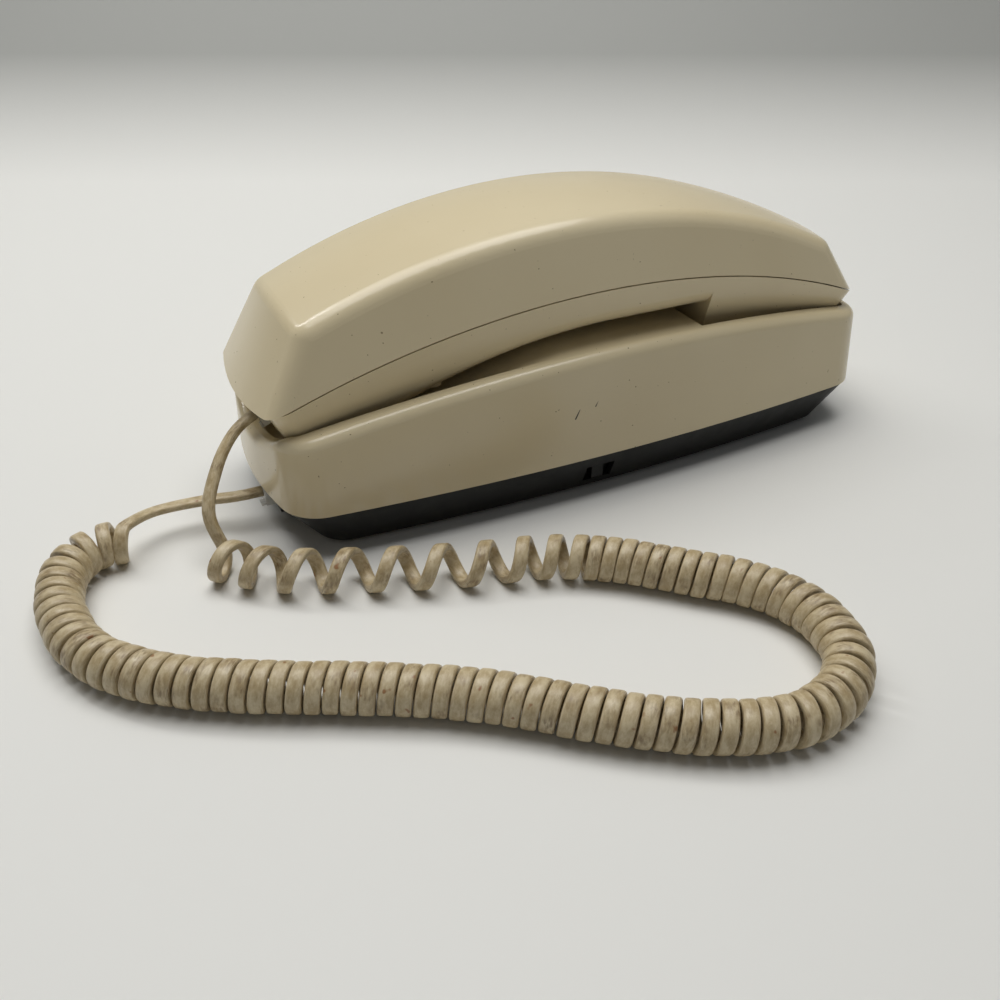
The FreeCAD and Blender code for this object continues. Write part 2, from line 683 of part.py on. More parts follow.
def pan_shell():
    body = new_body("pan_shell")
    low = new_sketch(body, offset="pan_low")
    outline(low, base_plan(D["pan_taper_long"], D["pan_taper_wide"], 3))
    high = new_sketch(body, offset="seam_height - seam_gap")
    outline(high, base_plan(0.4, 0.4, 0))
    loft(body, [low, high])
    wall = D["pan_wall"]
    share = wall / (D["seam_height"] - D["seam_gap"] - D["pan_low"])
    long_step = D["pan_taper_long"] * (1 - share) + wall
    wide_step = D["pan_taper_wide"] * (1 - share) + wall
    room_low = new_sketch(body, offset="pan_low + pan_wall")
    outline(room_low, base_plan(long_step, wide_step, 4))
    room_high = new_sketch(body, offset="seam_height - seam_gap + 0.01")
    outline(room_high, base_plan(wall + 0.4, wall + 0.4, wall))
    loft(body, [room_low, room_high], cutting=True)
    return body


def keyhole(middle):
    """One keyhole: the stud goes in at the round end and seats in the narrow end."""
    round_end = rod(middle + " - keyhole_travel", "0", "0", "keyhole_round", "8")
    seat = rod(middle, "0", "0", "keyhole_slot", "8")
    slot = box(middle + " - keyhole_travel", "-keyhole_slot", "0", "keyhole_travel", "2 * keyhole_slot", "8")
    return [round_end, seat, slot]


FLOOR_TOP = "pan_low + pan_wall"
JACK_X = "base_jack_x"


def make_bottom_pan():
    adds = [pan_shell()]
    holes = keyhole("stud_spacing / 2") + keyhole("-stud_spacing / 2")
    for x, y, top in screw_places():
        adds.append(rod(x, y, "pan_low", "boss_radius + 0.8", BOSS_FOOT + " - 0.05 - pan_low"))
        holes.append(rod(x, y, "pan_low - 1", "screw_head_radius + 0.2", "screw_head_high + 1.2"))
        holes.append(rod(x, y, "pan_low", "screw_radius + 0.2", "8"))
    for x, y in foot_places():
        holes.append(rod(x, y, "pan_low - 1", "foot_radius", "foot_recess + 1"))
    for x in ("net_near_x + 4", "net_far_x - 4"):
        for y in ("net_half_wide - 5", "5 - net_half_wide"):
            adds.append(rod(x, y, FLOOR_TOP, "2.5", "net_height - (" + FLOOR_TOP + ")"))
    adds.append(rod("gong_x", "0", FLOOR_TOP, "4.5", "gong_low + gong_high - gong_wall - (" + FLOOR_TOP + ")"))
    holes.append(rod("gong_x", "0", "gong_low + gong_high - gong_wall - 8", "1.65", "12"))
    # sound slots under the bell
    for k in range(-3, 4):
        holes.append(box("gong_x - 11", "%d - 0.9" % (5 * k), "0", "22", "1.8", "3.9"))
    adds[0] = cut(adds[0], [holes.pop() for k in range(7)])
    # opening of the loudness slider and the guide behind it
    holes.append(box("window_near_x", "-base_half_wide - 2", "window_low",
                     "window_far_x - window_near_x", "base_half_wide - 31.5", "window_top - window_low"))
    adds.append(box("window_near_x - 4", "-31", FLOOR_TOP, "window_far_x - window_near_x + 8", "1.4", "5.5"))
    for y in ("cord_side_y", "line_jack_y"):
        holes.append(box("base_jack_x - 14", y + " - jack_wide / 2 - 0.15", FLOOR_TOP,
                         "jack_long + 14.5", "jack_wide + 0.3", "20"))
    return keep(cut(join(adds), holes), "bottom_pan")


def foot_places():
    rows = []
    for side in ("", "-"):
        rows.append(("foot_near_x", side + "foot_near_y"))
        rows.append(("foot_far_x", side + "foot_far_y"))
    return rows


def make_feet_and_pan_screws():
    feet = [rod(x, y, "0", "foot_radius - fit_gap", "pan_low + foot_recess") for x, y in foot_places()]
    keep(group(feet), "rubber_feet")
    screws = []
    for x, y, top in screw_places():
        head = rod(x, y, "pan_low + 0.2", "screw_head_radius", "screw_head_high")
        shank = rod(x, y, "pan_low + 0.2 + screw_head_high", "screw_radius", "screw_long")
        screws.append(join([head, shank]))
    keep(group(screws), "pan_screws")


def make_jack(label, frame, start="0"):
    """Modular jack: a block with a stepped mouth for a plug and its latch. x runs inward."""
    depth = "jack_long - 3"
    shell = box(start, "-jack_wide / 2", "-jack_high / 2", "jack_long", "jack_wide", "jack_high")
    mouth = box("-1", "-plug_wide / 2 - plug_gap", "-plug_high / 2 - plug_gap", depth + " + 1",
                "plug_wide + 2 * plug_gap", "plug_high + 2 * plug_gap")
    latch = box("-1", "-1.7", "-jack_high / 2 + 0.5", depth + " + 1", "3.4", "jack_high / 2")
    return keep(set_in(cut(shell, [mouth, latch]), frame), label)


def make_plug(label, frame, out):
    """Modular plug: a block, its latch arm below and a strain relief where the cord enters."""
    block = box("-" + out, "-plug_wide / 2", "-plug_high / 2", "plug_long", "plug_wide", "plug_high")
    arm = box("-" + out + " - 1", "-1.3", "-plug_high / 2 - 1.3", "plug_long - 0.4", "2.6", "0.8")
    root = box("plug_long - " + out + " - 2", "-1.3", "-plug_high / 2 - 1", "2", "2.6", "1.5")
    return keep(set_in(join([block, arm, root]), frame), label)


def set_in(item, frame):
    """Put a piece made about the origin into a frame given as x, y, z formulas and a turn about Y."""
    x, y, z, turn = frame
    place(item, x, y, z, V(0, 1, 0), turn)
    return item


def make_hook_switch():
    top = "grip_height - seat_gap"
    flange_top = "grip_height - saddle_gap - base_wall - 1.8 - plunger_travel - 0.2"
    half_long = "plunger_long / 2"
    half_wide = "plunger_wide / 2"
    head = box("plunger_x - " + half_long, "-" + half_wide, flange_top + " - 1.6", "plunger_long",
               "plunger_wide", top + " - (" + flange_top + ") + 1.6")
    rounded = doc.addObject("Part::Fillet", "plunger_head")
    rounded.Base = head
    doc.recompute()
    high = [i + 1 for i, edge in enumerate(head.Shape.Edges) if edge.BoundBox.ZMin > D["grip_height"] - 1]
    rounded.Edges = [(i, 1.2, 1.2) for i in high]
    flange = box("plunger_x - plunger_long / 2 - plunger_flange", "-plunger_wide / 2 - plunger_flange",
                 flange_top + " - 1.6", "plunger_long + 2 * plunger_flange",
                 "plunger_wide + 2 * plunger_flange", "1.6")
    stem = rod("plunger_x", "0", "switch_top - 4", "stem_radius", flange_top + " - 1.6 - switch_top + 4")
    keep(join([rounded, flange, stem]), "hook_plunger")
    plate = box("plunger_x - 8", "-plunger_wide / 2 - 9.5", "switch_top - 1.6", "14.5", "plunger_wide + 19", "1.6")
    bore = rod("plunger_x", "0", "switch_top - 3", "stem_radius + 0.15", "6")
    keep(cut(plate, [bore]), "hook_switch_plate")
    block = box("plunger_x - 7", "-14", "switch_top - 8", "5", "6", "6.4")
    leaves = [box("plunger_x - 2", "-12.5", "switch_top - %g" % z, "9", "3", "0.4") for z in (3.4, 5, 6.6)]
    keep(join([block] + leaves), "hook_contacts")
    lowest = D["switch_top"] + D["spring_wire"] / 2 + 0.05
    highest = D["grip_height"] - D["saddle_gap"] - D["base_wall"] - 1.8 - D["plunger_travel"] - 1.8
    highest = highest - D["spring_wire"] / 2 - 0.05
    centre = V(D["plunger_x"], 0, 0)
    frames = []
    steps = int(D["spring_turns"] * 2)
    for k in range(steps + 1):
        frames.append((V(centre.x, 0, lowest + (highest - lowest) * k / steps), V(0, 0, 1), V(1, 0, 0), k / 2.0))
    points, tangents = helix_points(frames, D["spring_radius"], 1)
    spring = tube_along(biarc_wire(points, tangents), D["spring_wire"] / 2, 6)
    keep(formed(spring, "spring"), "hook_spring")


def make_card():
    keep(box("card_near_x", "-card_half_wide", CARD_FLOOR, "card_far_x - card_near_x",
             "2 * card_half_wide", "card_high"), "number_card")
    keep(box("card_near_x", "-card_half_wide", CARD_FLOOR + " + card_high", "card_far_x - card_near_x",
             "2 * card_half_wide", "window_high"), "card_window")
    keep(box("ear_well_x - tab_thick", "-tab_wide / 2", "rim_height - tab_deep - 0.5", "tab_thick",
             "tab_wide", "tab_deep"), "wall_tab")


def make_network():
    board = box("net_near_x", "-net_half_wide", "net_height", "net_far_x - net_near_x", "2 * net_half_wide",
                "board_high")
    keep(board, "network_board")
    top = "net_height + board_high"
    keep(box("net_near_x + 8", "-12", top, "20", "17", "9"), "network_transformer")
    cans = []
    for k in range(3):
        cans.append(rod("net_far_x - %d" % (8 + 9 * k), "9", top, "3.4", "8"))
    cans.append(box("net_far_x - 24", "-14", top, "18", "6", "5"))
    keep(group(cans), "network_capacitors")


def make_ringer():
    gong = new_body("gong")
    side = new_sketch(gong, "XZ_Plane")
    r = D["gong_radius"]
    low = D["gong_low"]
    high = low + D["gong_high"]
    wall = D["gong_wall"]
    bore = 1.8
    shoulder = 7
    outer_mid = (r - shoulder + shoulder * math.sin(0.785), high - shoulder + shoulder * math.cos(0.785))
    inner = shoulder - wall
    inner_mid = (r - shoulder + inner * math.sin(0.785), high - shoulder + inner * math.cos(0.785))
    outline(side, [
        line((r - wall, low), (r, low)),
        line((r, low), (r, high - shoulder)),
        bend((r, high - shoulder), outer_mid, (r - shoulder, high)),
        line((r - shoulder, high), (bore, high)),
        line((bore, high), (bore, high - wall)),
        line((bore, high - wall), (r - shoulder, high - wall)),
        bend((r - shoulder, high - wall), inner_mid, (r - wall, high - shoulder)),
        line((r - wall, high - shoulder), (r - wall, low)),
    ])
    revolve(gong, side)
    place(gong, x="gong_x")
    keep(gong, "ringer_gong")
    head = rod("gong_x", "0", "gong_low + gong_high", "4", "1.8")
    shank = rod("gong_x", "0", "gong_low + gong_high - 7", "1.6", "7")
    keep(join([head, shank]), "gong_screw")
    floor = FLOOR_TOP
    plate = box("coil_x - 12", "-17", floor, "30", "34", "1.6")
    cheeks = []
    for y in ("coil_half_long", "-coil_half_long - 1.6"):
        cheeks.append(box("coil_x - 7", y, floor + " + 1.6", "16.4", "1.6", "coil_height + 4.4 - (" + floor + ")"))
    pin = rod("arm_x", "arm_pivot_y", floor + " + 1.6", "1.2", "clapper_height + 5 - (" + floor + ")")
    bores = [rod("coil_x", "-coil_half_long - 4", "coil_height", "2.45", "2 * coil_half_long + 8", V(1, 0, 0), -90)]
    keep(cut(join([plate, pin] + cheeks), bores), "ringer_frame")
    winding = rod("coil_x", "-coil_half_long", "coil_height", "coil_radius", "2 * coil_half_long", V(1, 0, 0), -90)
    core_hole = rod("coil_x", "-coil_half_long - 1", "coil_height", "2.45", "2 * coil_half_long + 2",
                    V(1, 0, 0), -90)
    keep(cut(winding, [core_hole]), "ringer_coil")
    keep(rod("coil_x", "-coil_half_long - 2.4", "coil_height", "2.4", "2 * coil_half_long + 4.8",
             V(1, 0, 0), -90), "ringer_core")
    barrel = rod("arm_x", "arm_pivot_y", "clapper_height - 3.5", "2.6", "7")
    bar = box("arm_x - 1", "clapper_y - 1.5", "clapper_height - 3.5", "2", "arm_pivot_y - clapper_y", "7")
    wire = rod("arm_x", "clapper_y", "clapper_height", "0.8", "clapper_x - arm_x", V(0, 1, 0), 90)
    ball = doc.addObject("Part::Sphere", "ball")
    bind(ball, Radius="clapper_radius")
    place(ball, "clapper_x", "clapper_y", "clapper_height")
    hole = rod("arm_x", "arm_pivot_y", "clapper_height - 6", "1.25", "12")
    keep(cut(join([barrel, bar, wire, ball]), [hole]), "ringer_armature")


def make_loudness_slider():
    middle = "(window_near_x + window_far_x) / 2"
    rail = box(middle + " - 5.5", "-32.9", FLOOR_TOP + " + 0.1", "11", "1.6", "5.6")
    knob = box(middle + " - slider_long / 2", "-36", "window_low + 0.6", "slider_long", "3.6", "4.4")
    keep(join([rail, knob]), "loudness_slider")


# Handset

def handset_section(x, kind, inset, spill):
    """Cross-section of the handset at one place along it, as a closed wire."""
    bow = x ** 2 / (2 * D["handset_bow_radius"])
    half = D["handset_half_wide"] - bow - inset * 1.04
    seam = seam_z(x)
    if kind == "back":
        low = seam + D["parting_gap"] / 2 - spill
        high = crest_z(x) - D["crown_rise"] - inset
        half_low = half + spill * D["back_lean"]
        half_high = half - (high - seam) * D["back_lean"]
        points = [V(x, -half_low, low), V(x, half_low, low), V(x, half_high, high), V(x, -half_high, high)]
        crown = Part.Arc(points[2], V(x, 0, crest_z(x) - inset), points[3])
    else:
        low = seam - D["parting_gap"] / 2 + spill
        high = seam - 40
        half_low = half + spill * D["face_lean"]
        half_high = half - (low - high) * D["face_lean"]
        points = [V(x, -half_low, low), V(x, half_low, low), V(x, half_high, high), V(x, -half_high, high)]
        crown = Part.LineSegment(points[2], points[3])
    edges = [
        Part.LineSegment(points[0], points[1]).toShape(),
        Part.LineSegment(points[1], points[2]).toShape(),
        crown.toShape(),
        Part.LineSegment(points[3], points[0]).toShape(),
    ]
    return Part.Wire(edges)


def end_outline(near_x, far_x, level):
    """Plan outline with two bowed ends, wider than the handset, at one level."""
    wide = 60
    bow = wide ** 2 / (2 * D["tip_bow_radius"])
    a = V(near_x + bow, -wide, level)
    b = V(far_x - bow, -wide, level)
    c = V(far_x - bow, wide, level)
    d = V(near_x + bow, wide, level)
    edges = [
        Part.LineSegment(a, b).toShape(),
        Part.Arc(b, V(far_x, 0, level), c).toShape(),
        Part.LineSegment(c, d).toShape(),
        Part.Arc(d, V(near_x, 0, level), a).toShape(),
    ]
    return Part.Wire(edges)


def handset_ends(kind, inset):
    """The block between the handset's two leaning ends."""
    wires = []
    if kind == "back":
        levels = (D["tip_height"] - 4, D["crest_height"] + 6)
        near_lean = D["near_back_lean"]
        far_lean = D["far_back_lean"]
    else:
        levels = (D["tip_height"] - 28, D["tip_height"] + 24)
        near_lean = -D["near_face_lean"]
        far_lean = -D["far_face_lean"]
    for level in levels:
        up = level - D["tip_height"]
        near_x = D["near_tip_x"] + near_lean * up + inset * 1.12
        far_x = D["far_tip_x"] - far_lean * up - inset * 1.12
        wires.append(end_outline(near_x, far_x, level))
    return Part.makeLoft(wires, True, True)


def handset_form(kind, inset, spill=0):
    """One half of the handset: a loft through five cross-sections, cut off by the leaning ends."""
    wires = [handset_section(x, kind, inset, spill) for x in (-118, -59, 0, 59, 118)]
    return Part.makeLoft(wires, True, False).common(handset_ends(kind, inset))


def upright_corners(shape):
    """The four edges where the handset's sides meet its ends."""
    found = []
    for edge in shape.Edges:
        size = edge.BoundBox
        at_end = abs(size.Center.x) > D["far_tip_x"] - 25
        rises = size.ZLength > 5 and size.YLength < 12
        if at_end and rises and abs(size.Center.y) > 12:
            found.append(edge)
    return found


def ridge_edges(shape, limit):
    """The edges round the back's top face."""
    found = []
    for edge in shape.Edges:
        first, last = edge.ParameterRange
        point = edge.valueAt((first + last) / 2)
        above = crest_z(point.x) - D["crown_rise"] - limit
        if point.z > above and edge.BoundBox.ZMin > D["tip_height"] + 8:
            found.append(edge)
    return found


def side_block(edges, half_wide):
    """Solid made by drawing a side view region out to both sides."""
    points = [V(e.StartPoint.x, -half_wide, e.StartPoint.y) for e in edges]
    parts = []
    for edge, start in zip(edges, points):
        end = V(edge.EndPoint.x, -half_wide, edge.EndPoint.y)
        if isinstance(edge, Part.LineSegment):
            parts.append(Part.LineSegment(start, end).toShape())
        else:
            first = edge.FirstParameter
            last = edge.LastParameter
            mid = edge.value((first + last) / 2)
            parts.append(Part.Arc(start, V(mid.x, -half_wide, mid.y), end).toShape())
    face = Part.Face(Part.Wire(Part.__sortEdges__(parts)))
    return face.extrude(V(0, 2 * half_wide, 0))


def handset_screw_places():
    return [(x, y) for x in (-66, 30) for y in (-19, 19)]


def make_handset_back():
    solid = handset_form("back", 0)
    solid = solid.makeFillet(D["handset_corner"], upright_corners(solid))
    solid = solid.makeFillet(D["ridge_round"], ridge_edges(solid, 1.5))
    hollow = handset_form("back", D["handset_wall"], 1)
    solid = solid.cut(hollow)
    for x, y in handset_screw_places():
        low = grip_z(x) + D["screw_pad_top"] + 0.05
        high = crest_z(x) - D["crown_rise"] - D["handset_wall"] / 2
        solid = solid.fuse(Part.makeCylinder(D["boss_radius"], high - low, V(x, y, low)))
        pilot = Part.makeCylinder(D["screw_radius"] + 0.05, D["screw_long"] + 1, V(x, y, low - 1))
        solid = solid.cut(pilot)
    return keep(formed(solid, "handset_back"), "handset_back")


def keypad_frame():
    run = D["keypad_x"] - D["grip_arc_x"]
    tilt = math.degrees(math.asin(-run / D["grip_arc_radius"]))
    level = "grip_height - grip_arc_radius + sqrt(grip_arc_radius ^ 2 - (keypad_x - grip_arc_x) ^ 2)"
    return ("keypad_x", "0", level, -tilt)


def mic_frame():
    run = D["grip_arc_x"] - D["mouth_face_x"]
    tilt = math.degrees(math.asin(run / D["grip_arc_radius"]))
    return (D["mic_x"], 0, grip_z(D["mic_x"]), -tilt)


def ear_frame():
    middle = (D["ear_block_x"] + D["ear_face_far_x"]) / 2 + 1
    fall = D["ear_face_near_z"] - D["ear_face_far_z"]
    tilt = math.degrees(math.atan2(fall, D["ear_face_far_x"] - D["ear_block_x"]))
    return (middle, 0, ear_z(middle), tilt)


def frame_placement(frame):
    x, y, z, turn = frame
    return FreeCAD.Placement(V(x, y, z), FreeCAD.Rotation(V(0, 1, 0), turn))


def numeric_keypad_frame():
    x, y, z, turn = keypad_frame()
    return (D["keypad_x"], 0, grip_z(D["keypad_x"]), turn)


def jack_frame():
    return (D["handset_jack_x"], D["cord_side_y"], D["handset_jack_z"], -D["jack_tilt"])


def key_places():
    """Name, place along and across, and size of every key, seen in the keypad's own frame."""
    rows = []
    for i, names in enumerate(KEY_NAMES):
        along = (1.5 - i) * D["key_pitch_long"]
        for j, name in enumerate(names):
            across = (1 - j) * D["key_pitch_wide"]
            rows.append((name, along, across, D["key_long"], D["key_wide"]))
    for name, across in (("redial_key", D["service_key_y"]), ("flash_key", -D["service_key_y"])):
        rows.append((name, -D["service_row"], across, D["service_key_long"], D["service_key_wide"]))
    return rows


def centred_block(x, y, z_low, z_high, long, wide):
    return Part.makeBox(long, wide, z_high - z_low, V(x - long / 2, y - wide / 2, z_low))


def make_handset_face():
    solid = handset_form("face", 0)
    below = side_block(underside_profile(0, -130, 130, -20), 70)
    solid = solid.cut(below)
    solid = solid.makeFillet(D["handset_corner"], upright_corners(solid))
    wall = D["handset_wall"]
    hollow = handset_form("face", wall, 1).cut(side_block(underside_profile(wall, -130, 130, -20), 70))
    solid = solid.cut(hollow)
    # pads and holes for the shell screws
    for x, y in handset_screw_places():
        low = grip_z(x)
        seat = D["screw_seat"]
        pad_high = D["screw_pad_top"] - seat
        solid = solid.fuse(Part.makeCylinder(D["boss_radius"] + 0.8, pad_high, V(x, y, low + seat)))
        solid = solid.cut(Part.makeCylinder(D["screw_head_radius"] + 0.2, 12, V(x, y, low + seat - 12)))
        solid = solid.cut(Part.makeCylinder(D["screw_radius"] + 0.2, 12, V(x, y, low)))
    # posts that carry the key mat and board
    seat = frame_placement(numeric_keypad_frame())
    for x in (-38.5, 25):
        for y in (-23.6, 23.6):
            start = 1.2 - x ** 2 / (2 * D["grip_arc_radius"])
            post = Part.makeCylinder(2.2, 5.7 - start, V(x, y, start))
            post.Placement = seat
            solid = solid.fuse(post)
    # key openings
    for name, x, y, long, wide in key_places():
        hole = centred_block(x, y, -9, 5, long + 2 * D["key_gap"], wide + 2 * D["key_gap"])
        upright = [edge for edge in hole.Edges if edge.BoundBox.ZLength > 1]
        hole = hole.makeFillet(D["key_corner"], upright)
        hole.Placement = seat
        solid = solid.cut(hole)
    # sound holes of the receiver and the microphone
    ear = frame_placement(ear_frame())
    ring = D["ear_ring_radius"]
    spots = [(0, 0)]
    for k in range(6):
        turn = math.radians(60 * k)
        spots.append((ring * math.cos(turn), ring * math.sin(turn)))
        turn = math.radians(60 * k + 30)
        spots.append((1.8 * ring * math.cos(turn), 1.8 * ring * math.sin(turn)))
    for x, y in spots:
        hole = Part.makeCylinder(D["ear_hole_radius"], 6, V(x, y, -2))
        hole.Placement = ear
        solid = solid.cut(hole)
    mouth = frame_placement(mic_frame())
    for y in (-6, -3, 0, 3, 6):
        hole = Part.makeCylinder(D["ear_hole_radius"] - 0.2, 6, V(0, y, -2))
        hole.Placement = mouth
        solid = solid.cut(hole)
    # mouth of the cord's jack in the end wall
    plug = D["plug_gap"]
    mouth_hole = Part.makeBox(12, D["plug_wide"] + 2 * plug, D["plug_high"] + 2 * plug,
                              V(-7, -D["plug_wide"] / 2 - plug, -D["plug_high"] / 2 - plug))
    latch_hole = Part.makeBox(12, 3.4, 3, V(-7, -1.7, -D["plug_high"] / 2 - 1.8))
    room = Part.makeBox(D["jack_long"] + 4, D["jack_wide"] + 0.2, D["jack_high"] + 0.2,
                        V(D["plug_out"] - 0.1, -D["jack_wide"] / 2 - 0.1, -D["jack_high"] / 2 - 0.1))
    for tool in (mouth_hole, latch_hole, room):
        tool.Placement = frame_placement(jack_frame())
        solid = solid.cut(tool)
    return keep(formed(solid, "handset_face"), "handset_face")


def make_handset_screws():
    screws = []
    for x, y in handset_screw_places():
        low = grip_z(x) + D["screw_seat"]
        head = Part.makeCylinder(D["screw_head_radius"], D["screw_head_high"],
                                 V(x, y, low - D["screw_head_high"]))
        shank = Part.makeCylinder(D["screw_radius"], D["screw_long"], V(x, y, low))
        screws.append(head.fuse(shank))
    keep(formed(Part.makeCompound(screws), "handset_screws"), "handset_screws")


def make_keys():
    frame = keypad_frame()
    for name, x, y, long, wide in key_places():
        body = new_body(name)
        face = -x ** 2 / (2 * D["grip_arc_radius"]) - D["key_proud"]
        top = new_sketch(body, offset="%g" % face)
        rectangle(top, "%g" % (x - long / 2), "%g" % (x + long / 2), "%g" % (y - wide / 2), "%g" % (y + wide / 2))
        pad(body, top, "key_flange_z + key_flange_high - (%g)" % face)
        soften(body, "key_corner", lambda edge: edge.BoundBox.ZLength > 1)
        soften(body, "0.7", lambda edge: edge.BoundBox.ZMax < face + 0.01)
        rim = new_sketch(body, offset="key_flange_z")
        rectangle(rim, "%g - key_flange" % (x - long / 2), "%g + key_flange" % (x + long / 2),
                  "%g - key_flange" % (y - wide / 2), "%g + key_flange" % (y + wide / 2))
        pad(body, rim, "key_flange_high")
        set_in(body, frame)
        keep(body, name)
    low = "key_flange_z + key_flange_high + key_travel + 0.2"
    mat = box("-41", "-22.5", low, "68.5", "45", "mat_high")
    keep(set_in_local(mat, frame, ("-41", "-22.5", low)), "key_mat")
    low = low + " + mat_high + 0.05"
    board = box("-41", "-22.5", low, "68.5", "45", "board_high")
    keep(set_in_local(board, frame, ("-41", "-22.5", low)), "key_board")


def set_in_local(item, frame, corner):
    """Put a block whose corner is given in a tilted frame into the phone's frame."""
    x, y, z, turn = frame
    a = math.radians(turn)
    cx, cy, cz = corner
    px = "%s + (%s) * %.9f + (%s) * %.9f" % (x, cx, math.cos(a), cz, math.sin(a))
    pz = "%s - (%s) * %.9f + (%s) * %.9f" % (z, cx, math.sin(a), cz, math.cos(a))
    place(item, px, "%s + (%s)" % (y, cy), pz, V(0, 1, 0), turn)
    return item


def make_capsules():
    wall = D["handset_wall"] + 0.05
    for part, frame, radius, high in (
        ("receiver", ear_frame(), D["receiver_radius"], D["receiver_high"]),
        ("microphone", mic_frame(), D["mic_radius"], D["mic_high"]),
    ):
        ring = Part.makeCylinder(radius, D["gasket_high"], V(0, 0, wall))
        ring = ring.cut(Part.makeCylinder(radius * 0.72, 9, V(0, 0, 0)))
        ring.Placement = frame_placement(frame)
        keep(formed(ring, part + "_gasket"), part + "_gasket")
        start = wall + D["gasket_high"]
        can = Part.makeCylinder(radius, high * 0.6, V(0, 0, start))
        can = can.fuse(Part.makeCylinder(radius * 0.8, high * 0.4, V(0, 0, start + high * 0.6)))
        can.Placement = frame_placement(frame)
        keep(formed(can, part + "_capsule"), part + "_capsule")


# Cord

def tangent_wire(points):
    """Straight runs joined by arcs as large as the two runs allow. Returns the wire and the radii."""
    spots = [V(*p) for p in points]
    edges = []
    radii = []
    here = spots[0]
    for before, corner, after in zip(spots, spots[1:], spots[2:]):
        a = (before - corner)
        b = (after - corner)
        run = 0.45 * min(a.Length, b.Length)
        a.normalize()
        b.normalize()
        turn = math.pi - a.getAngle(b)
        radius = run / math.tan(turn / 2)
        radii.append(radius)
        start = corner + a * run
        end = corner + b * run
        inward = a + b
        inward.normalize()
        middle = corner + inward * (radius / math.cos(turn / 2) - radius)
        edges.append(Part.LineSegment(here, start).toShape())
        edges.append(Part.Arc(start, middle, end).toShape())
        here = end
    edges.append(Part.LineSegment(here, spots[-1]).toShape())
    return Part.Wire(edges), radii


def tube_along(wire, radius, sides=0):
    """One solid tube along a wire: round, or with flats when sides are given."""
    edge = wire.Edges[0]
    start = edge.valueAt(edge.FirstParameter)
    way = edge.tangentAt(edge.FirstParameter)
    if sides:
        aside = way.cross(V(0, 0, 1))
        if aside.Length < 0.1:
            aside = way.cross(V(1, 0, 0))
        aside.normalize()
        upward = way.cross(aside)
        corners = []
        for k in range(sides):
            turn = 2 * math.pi * (k + 0.5) / sides
            corners.append(start + (aside * math.cos(turn) + upward * math.sin(turn)) * radius)
        section = Part.makePolygon(corners + [corners[0]])
    else:
        section = Part.Wire(Part.makeCircle(radius, start, way))
    shell = Part.BRepOffsetAPI.MakePipeShell(wire)
    shell.add(section)
    shell.build()
    shell.makeSolid()
    return Part.Solid(shell.shape()) if shell.shape().ShapeType == "Shell" else shell.shape()


def biarc_wire(points, tangents, lead_in=None, lead_out=None):
    """Two arcs between each pair of points that keep the given tangents, with straight ends."""
    edges = []
    if lead_in:
        edges.append(Part.LineSegment(lead_in, points[0]).toShape())
    for p, q, s, t in zip(points, points[1:], tangents, tangents[1:]):
        way = q - p
        both = s + t
        k = 2 * (1 - s.dot(t))
        if k < 1e-9:
            reach = way.dot(way) / (4 * way.dot(t))
        else:
            reach = (-way.dot(both) + math.sqrt(way.dot(both) ** 2 + k * way.dot(way))) / k
        first = p + s * reach
        last = q - t * reach
        joint = (first + last) * 0.5
        edges.append(arc_by_corner(p, first, joint))
        edges.append(arc_by_corner(joint, last, q))
    if lead_out:
        edges.append(Part.LineSegment(points[-1], lead_out).toShape())
    return Part.Wire(edges)


def arc_by_corner(start, corner, end):
    """Arc from start to end whose tangents meet at the corner."""
    leg = (start - corner).Length
    half_chord = (end - start).Length / 2
    middle = (start + end) * 0.5
    inward = corner - middle
    if inward.Length < 1e-6:
        return Part.LineSegment(start, end).toShape()
    rise = half_chord * (leg - half_chord) / inward.Length
    inward.normalize()
    return Part.Arc(start, middle + inward * rise, end).toShape()


def helix_points(frames, radius, hand):
    """Points and tangents of a helix. Each frame holds centre, axis, side and turns made so far."""
    points = []
    for centre, axis, side, turns in frames:
        other = axis.cross(side) * hand
        angle = 2 * math.pi * turns
        points.append(centre + side * (radius * math.cos(angle)) + other * (radius * math.sin(angle)))
    tangents = []
    for k, (centre, axis, side, turns) in enumerate(frames):
        other = axis.cross(side) * hand
        angle = 2 * math.pi * turns
        around = (other * math.cos(angle) - side * math.sin(angle)) * (2 * math.pi * radius)
        before = frames[max(k - 1, 0)]
        after = frames[min(k + 1, len(frames) - 1)]
        along = (after[0] - before[0]) * (1.0 / (after[3] - before[3]))
        tangent = around + along
        tangent.normalize()
        tangents.append(tangent)
    return points, tangents


def smooth_route(corners, steps):
    """Points along the smooth curve that touches the middle of each run between the corners."""
    spots = [V(x, y, 0) for x, y in corners]
    points = [spots[0]]
    start = spots[0]
    for k in range(1, len(spots) - 1):
        end = (spots[k] + spots[k + 1]) * 0.5 if k < len(spots) - 2 else spots[-1]
        for i in range(1, steps + 1):
            t = i / steps
            points.append(start * (1 - t) ** 2 + spots[k] * (2 * t * (1 - t)) + end * t ** 2)
        start = end
    return points


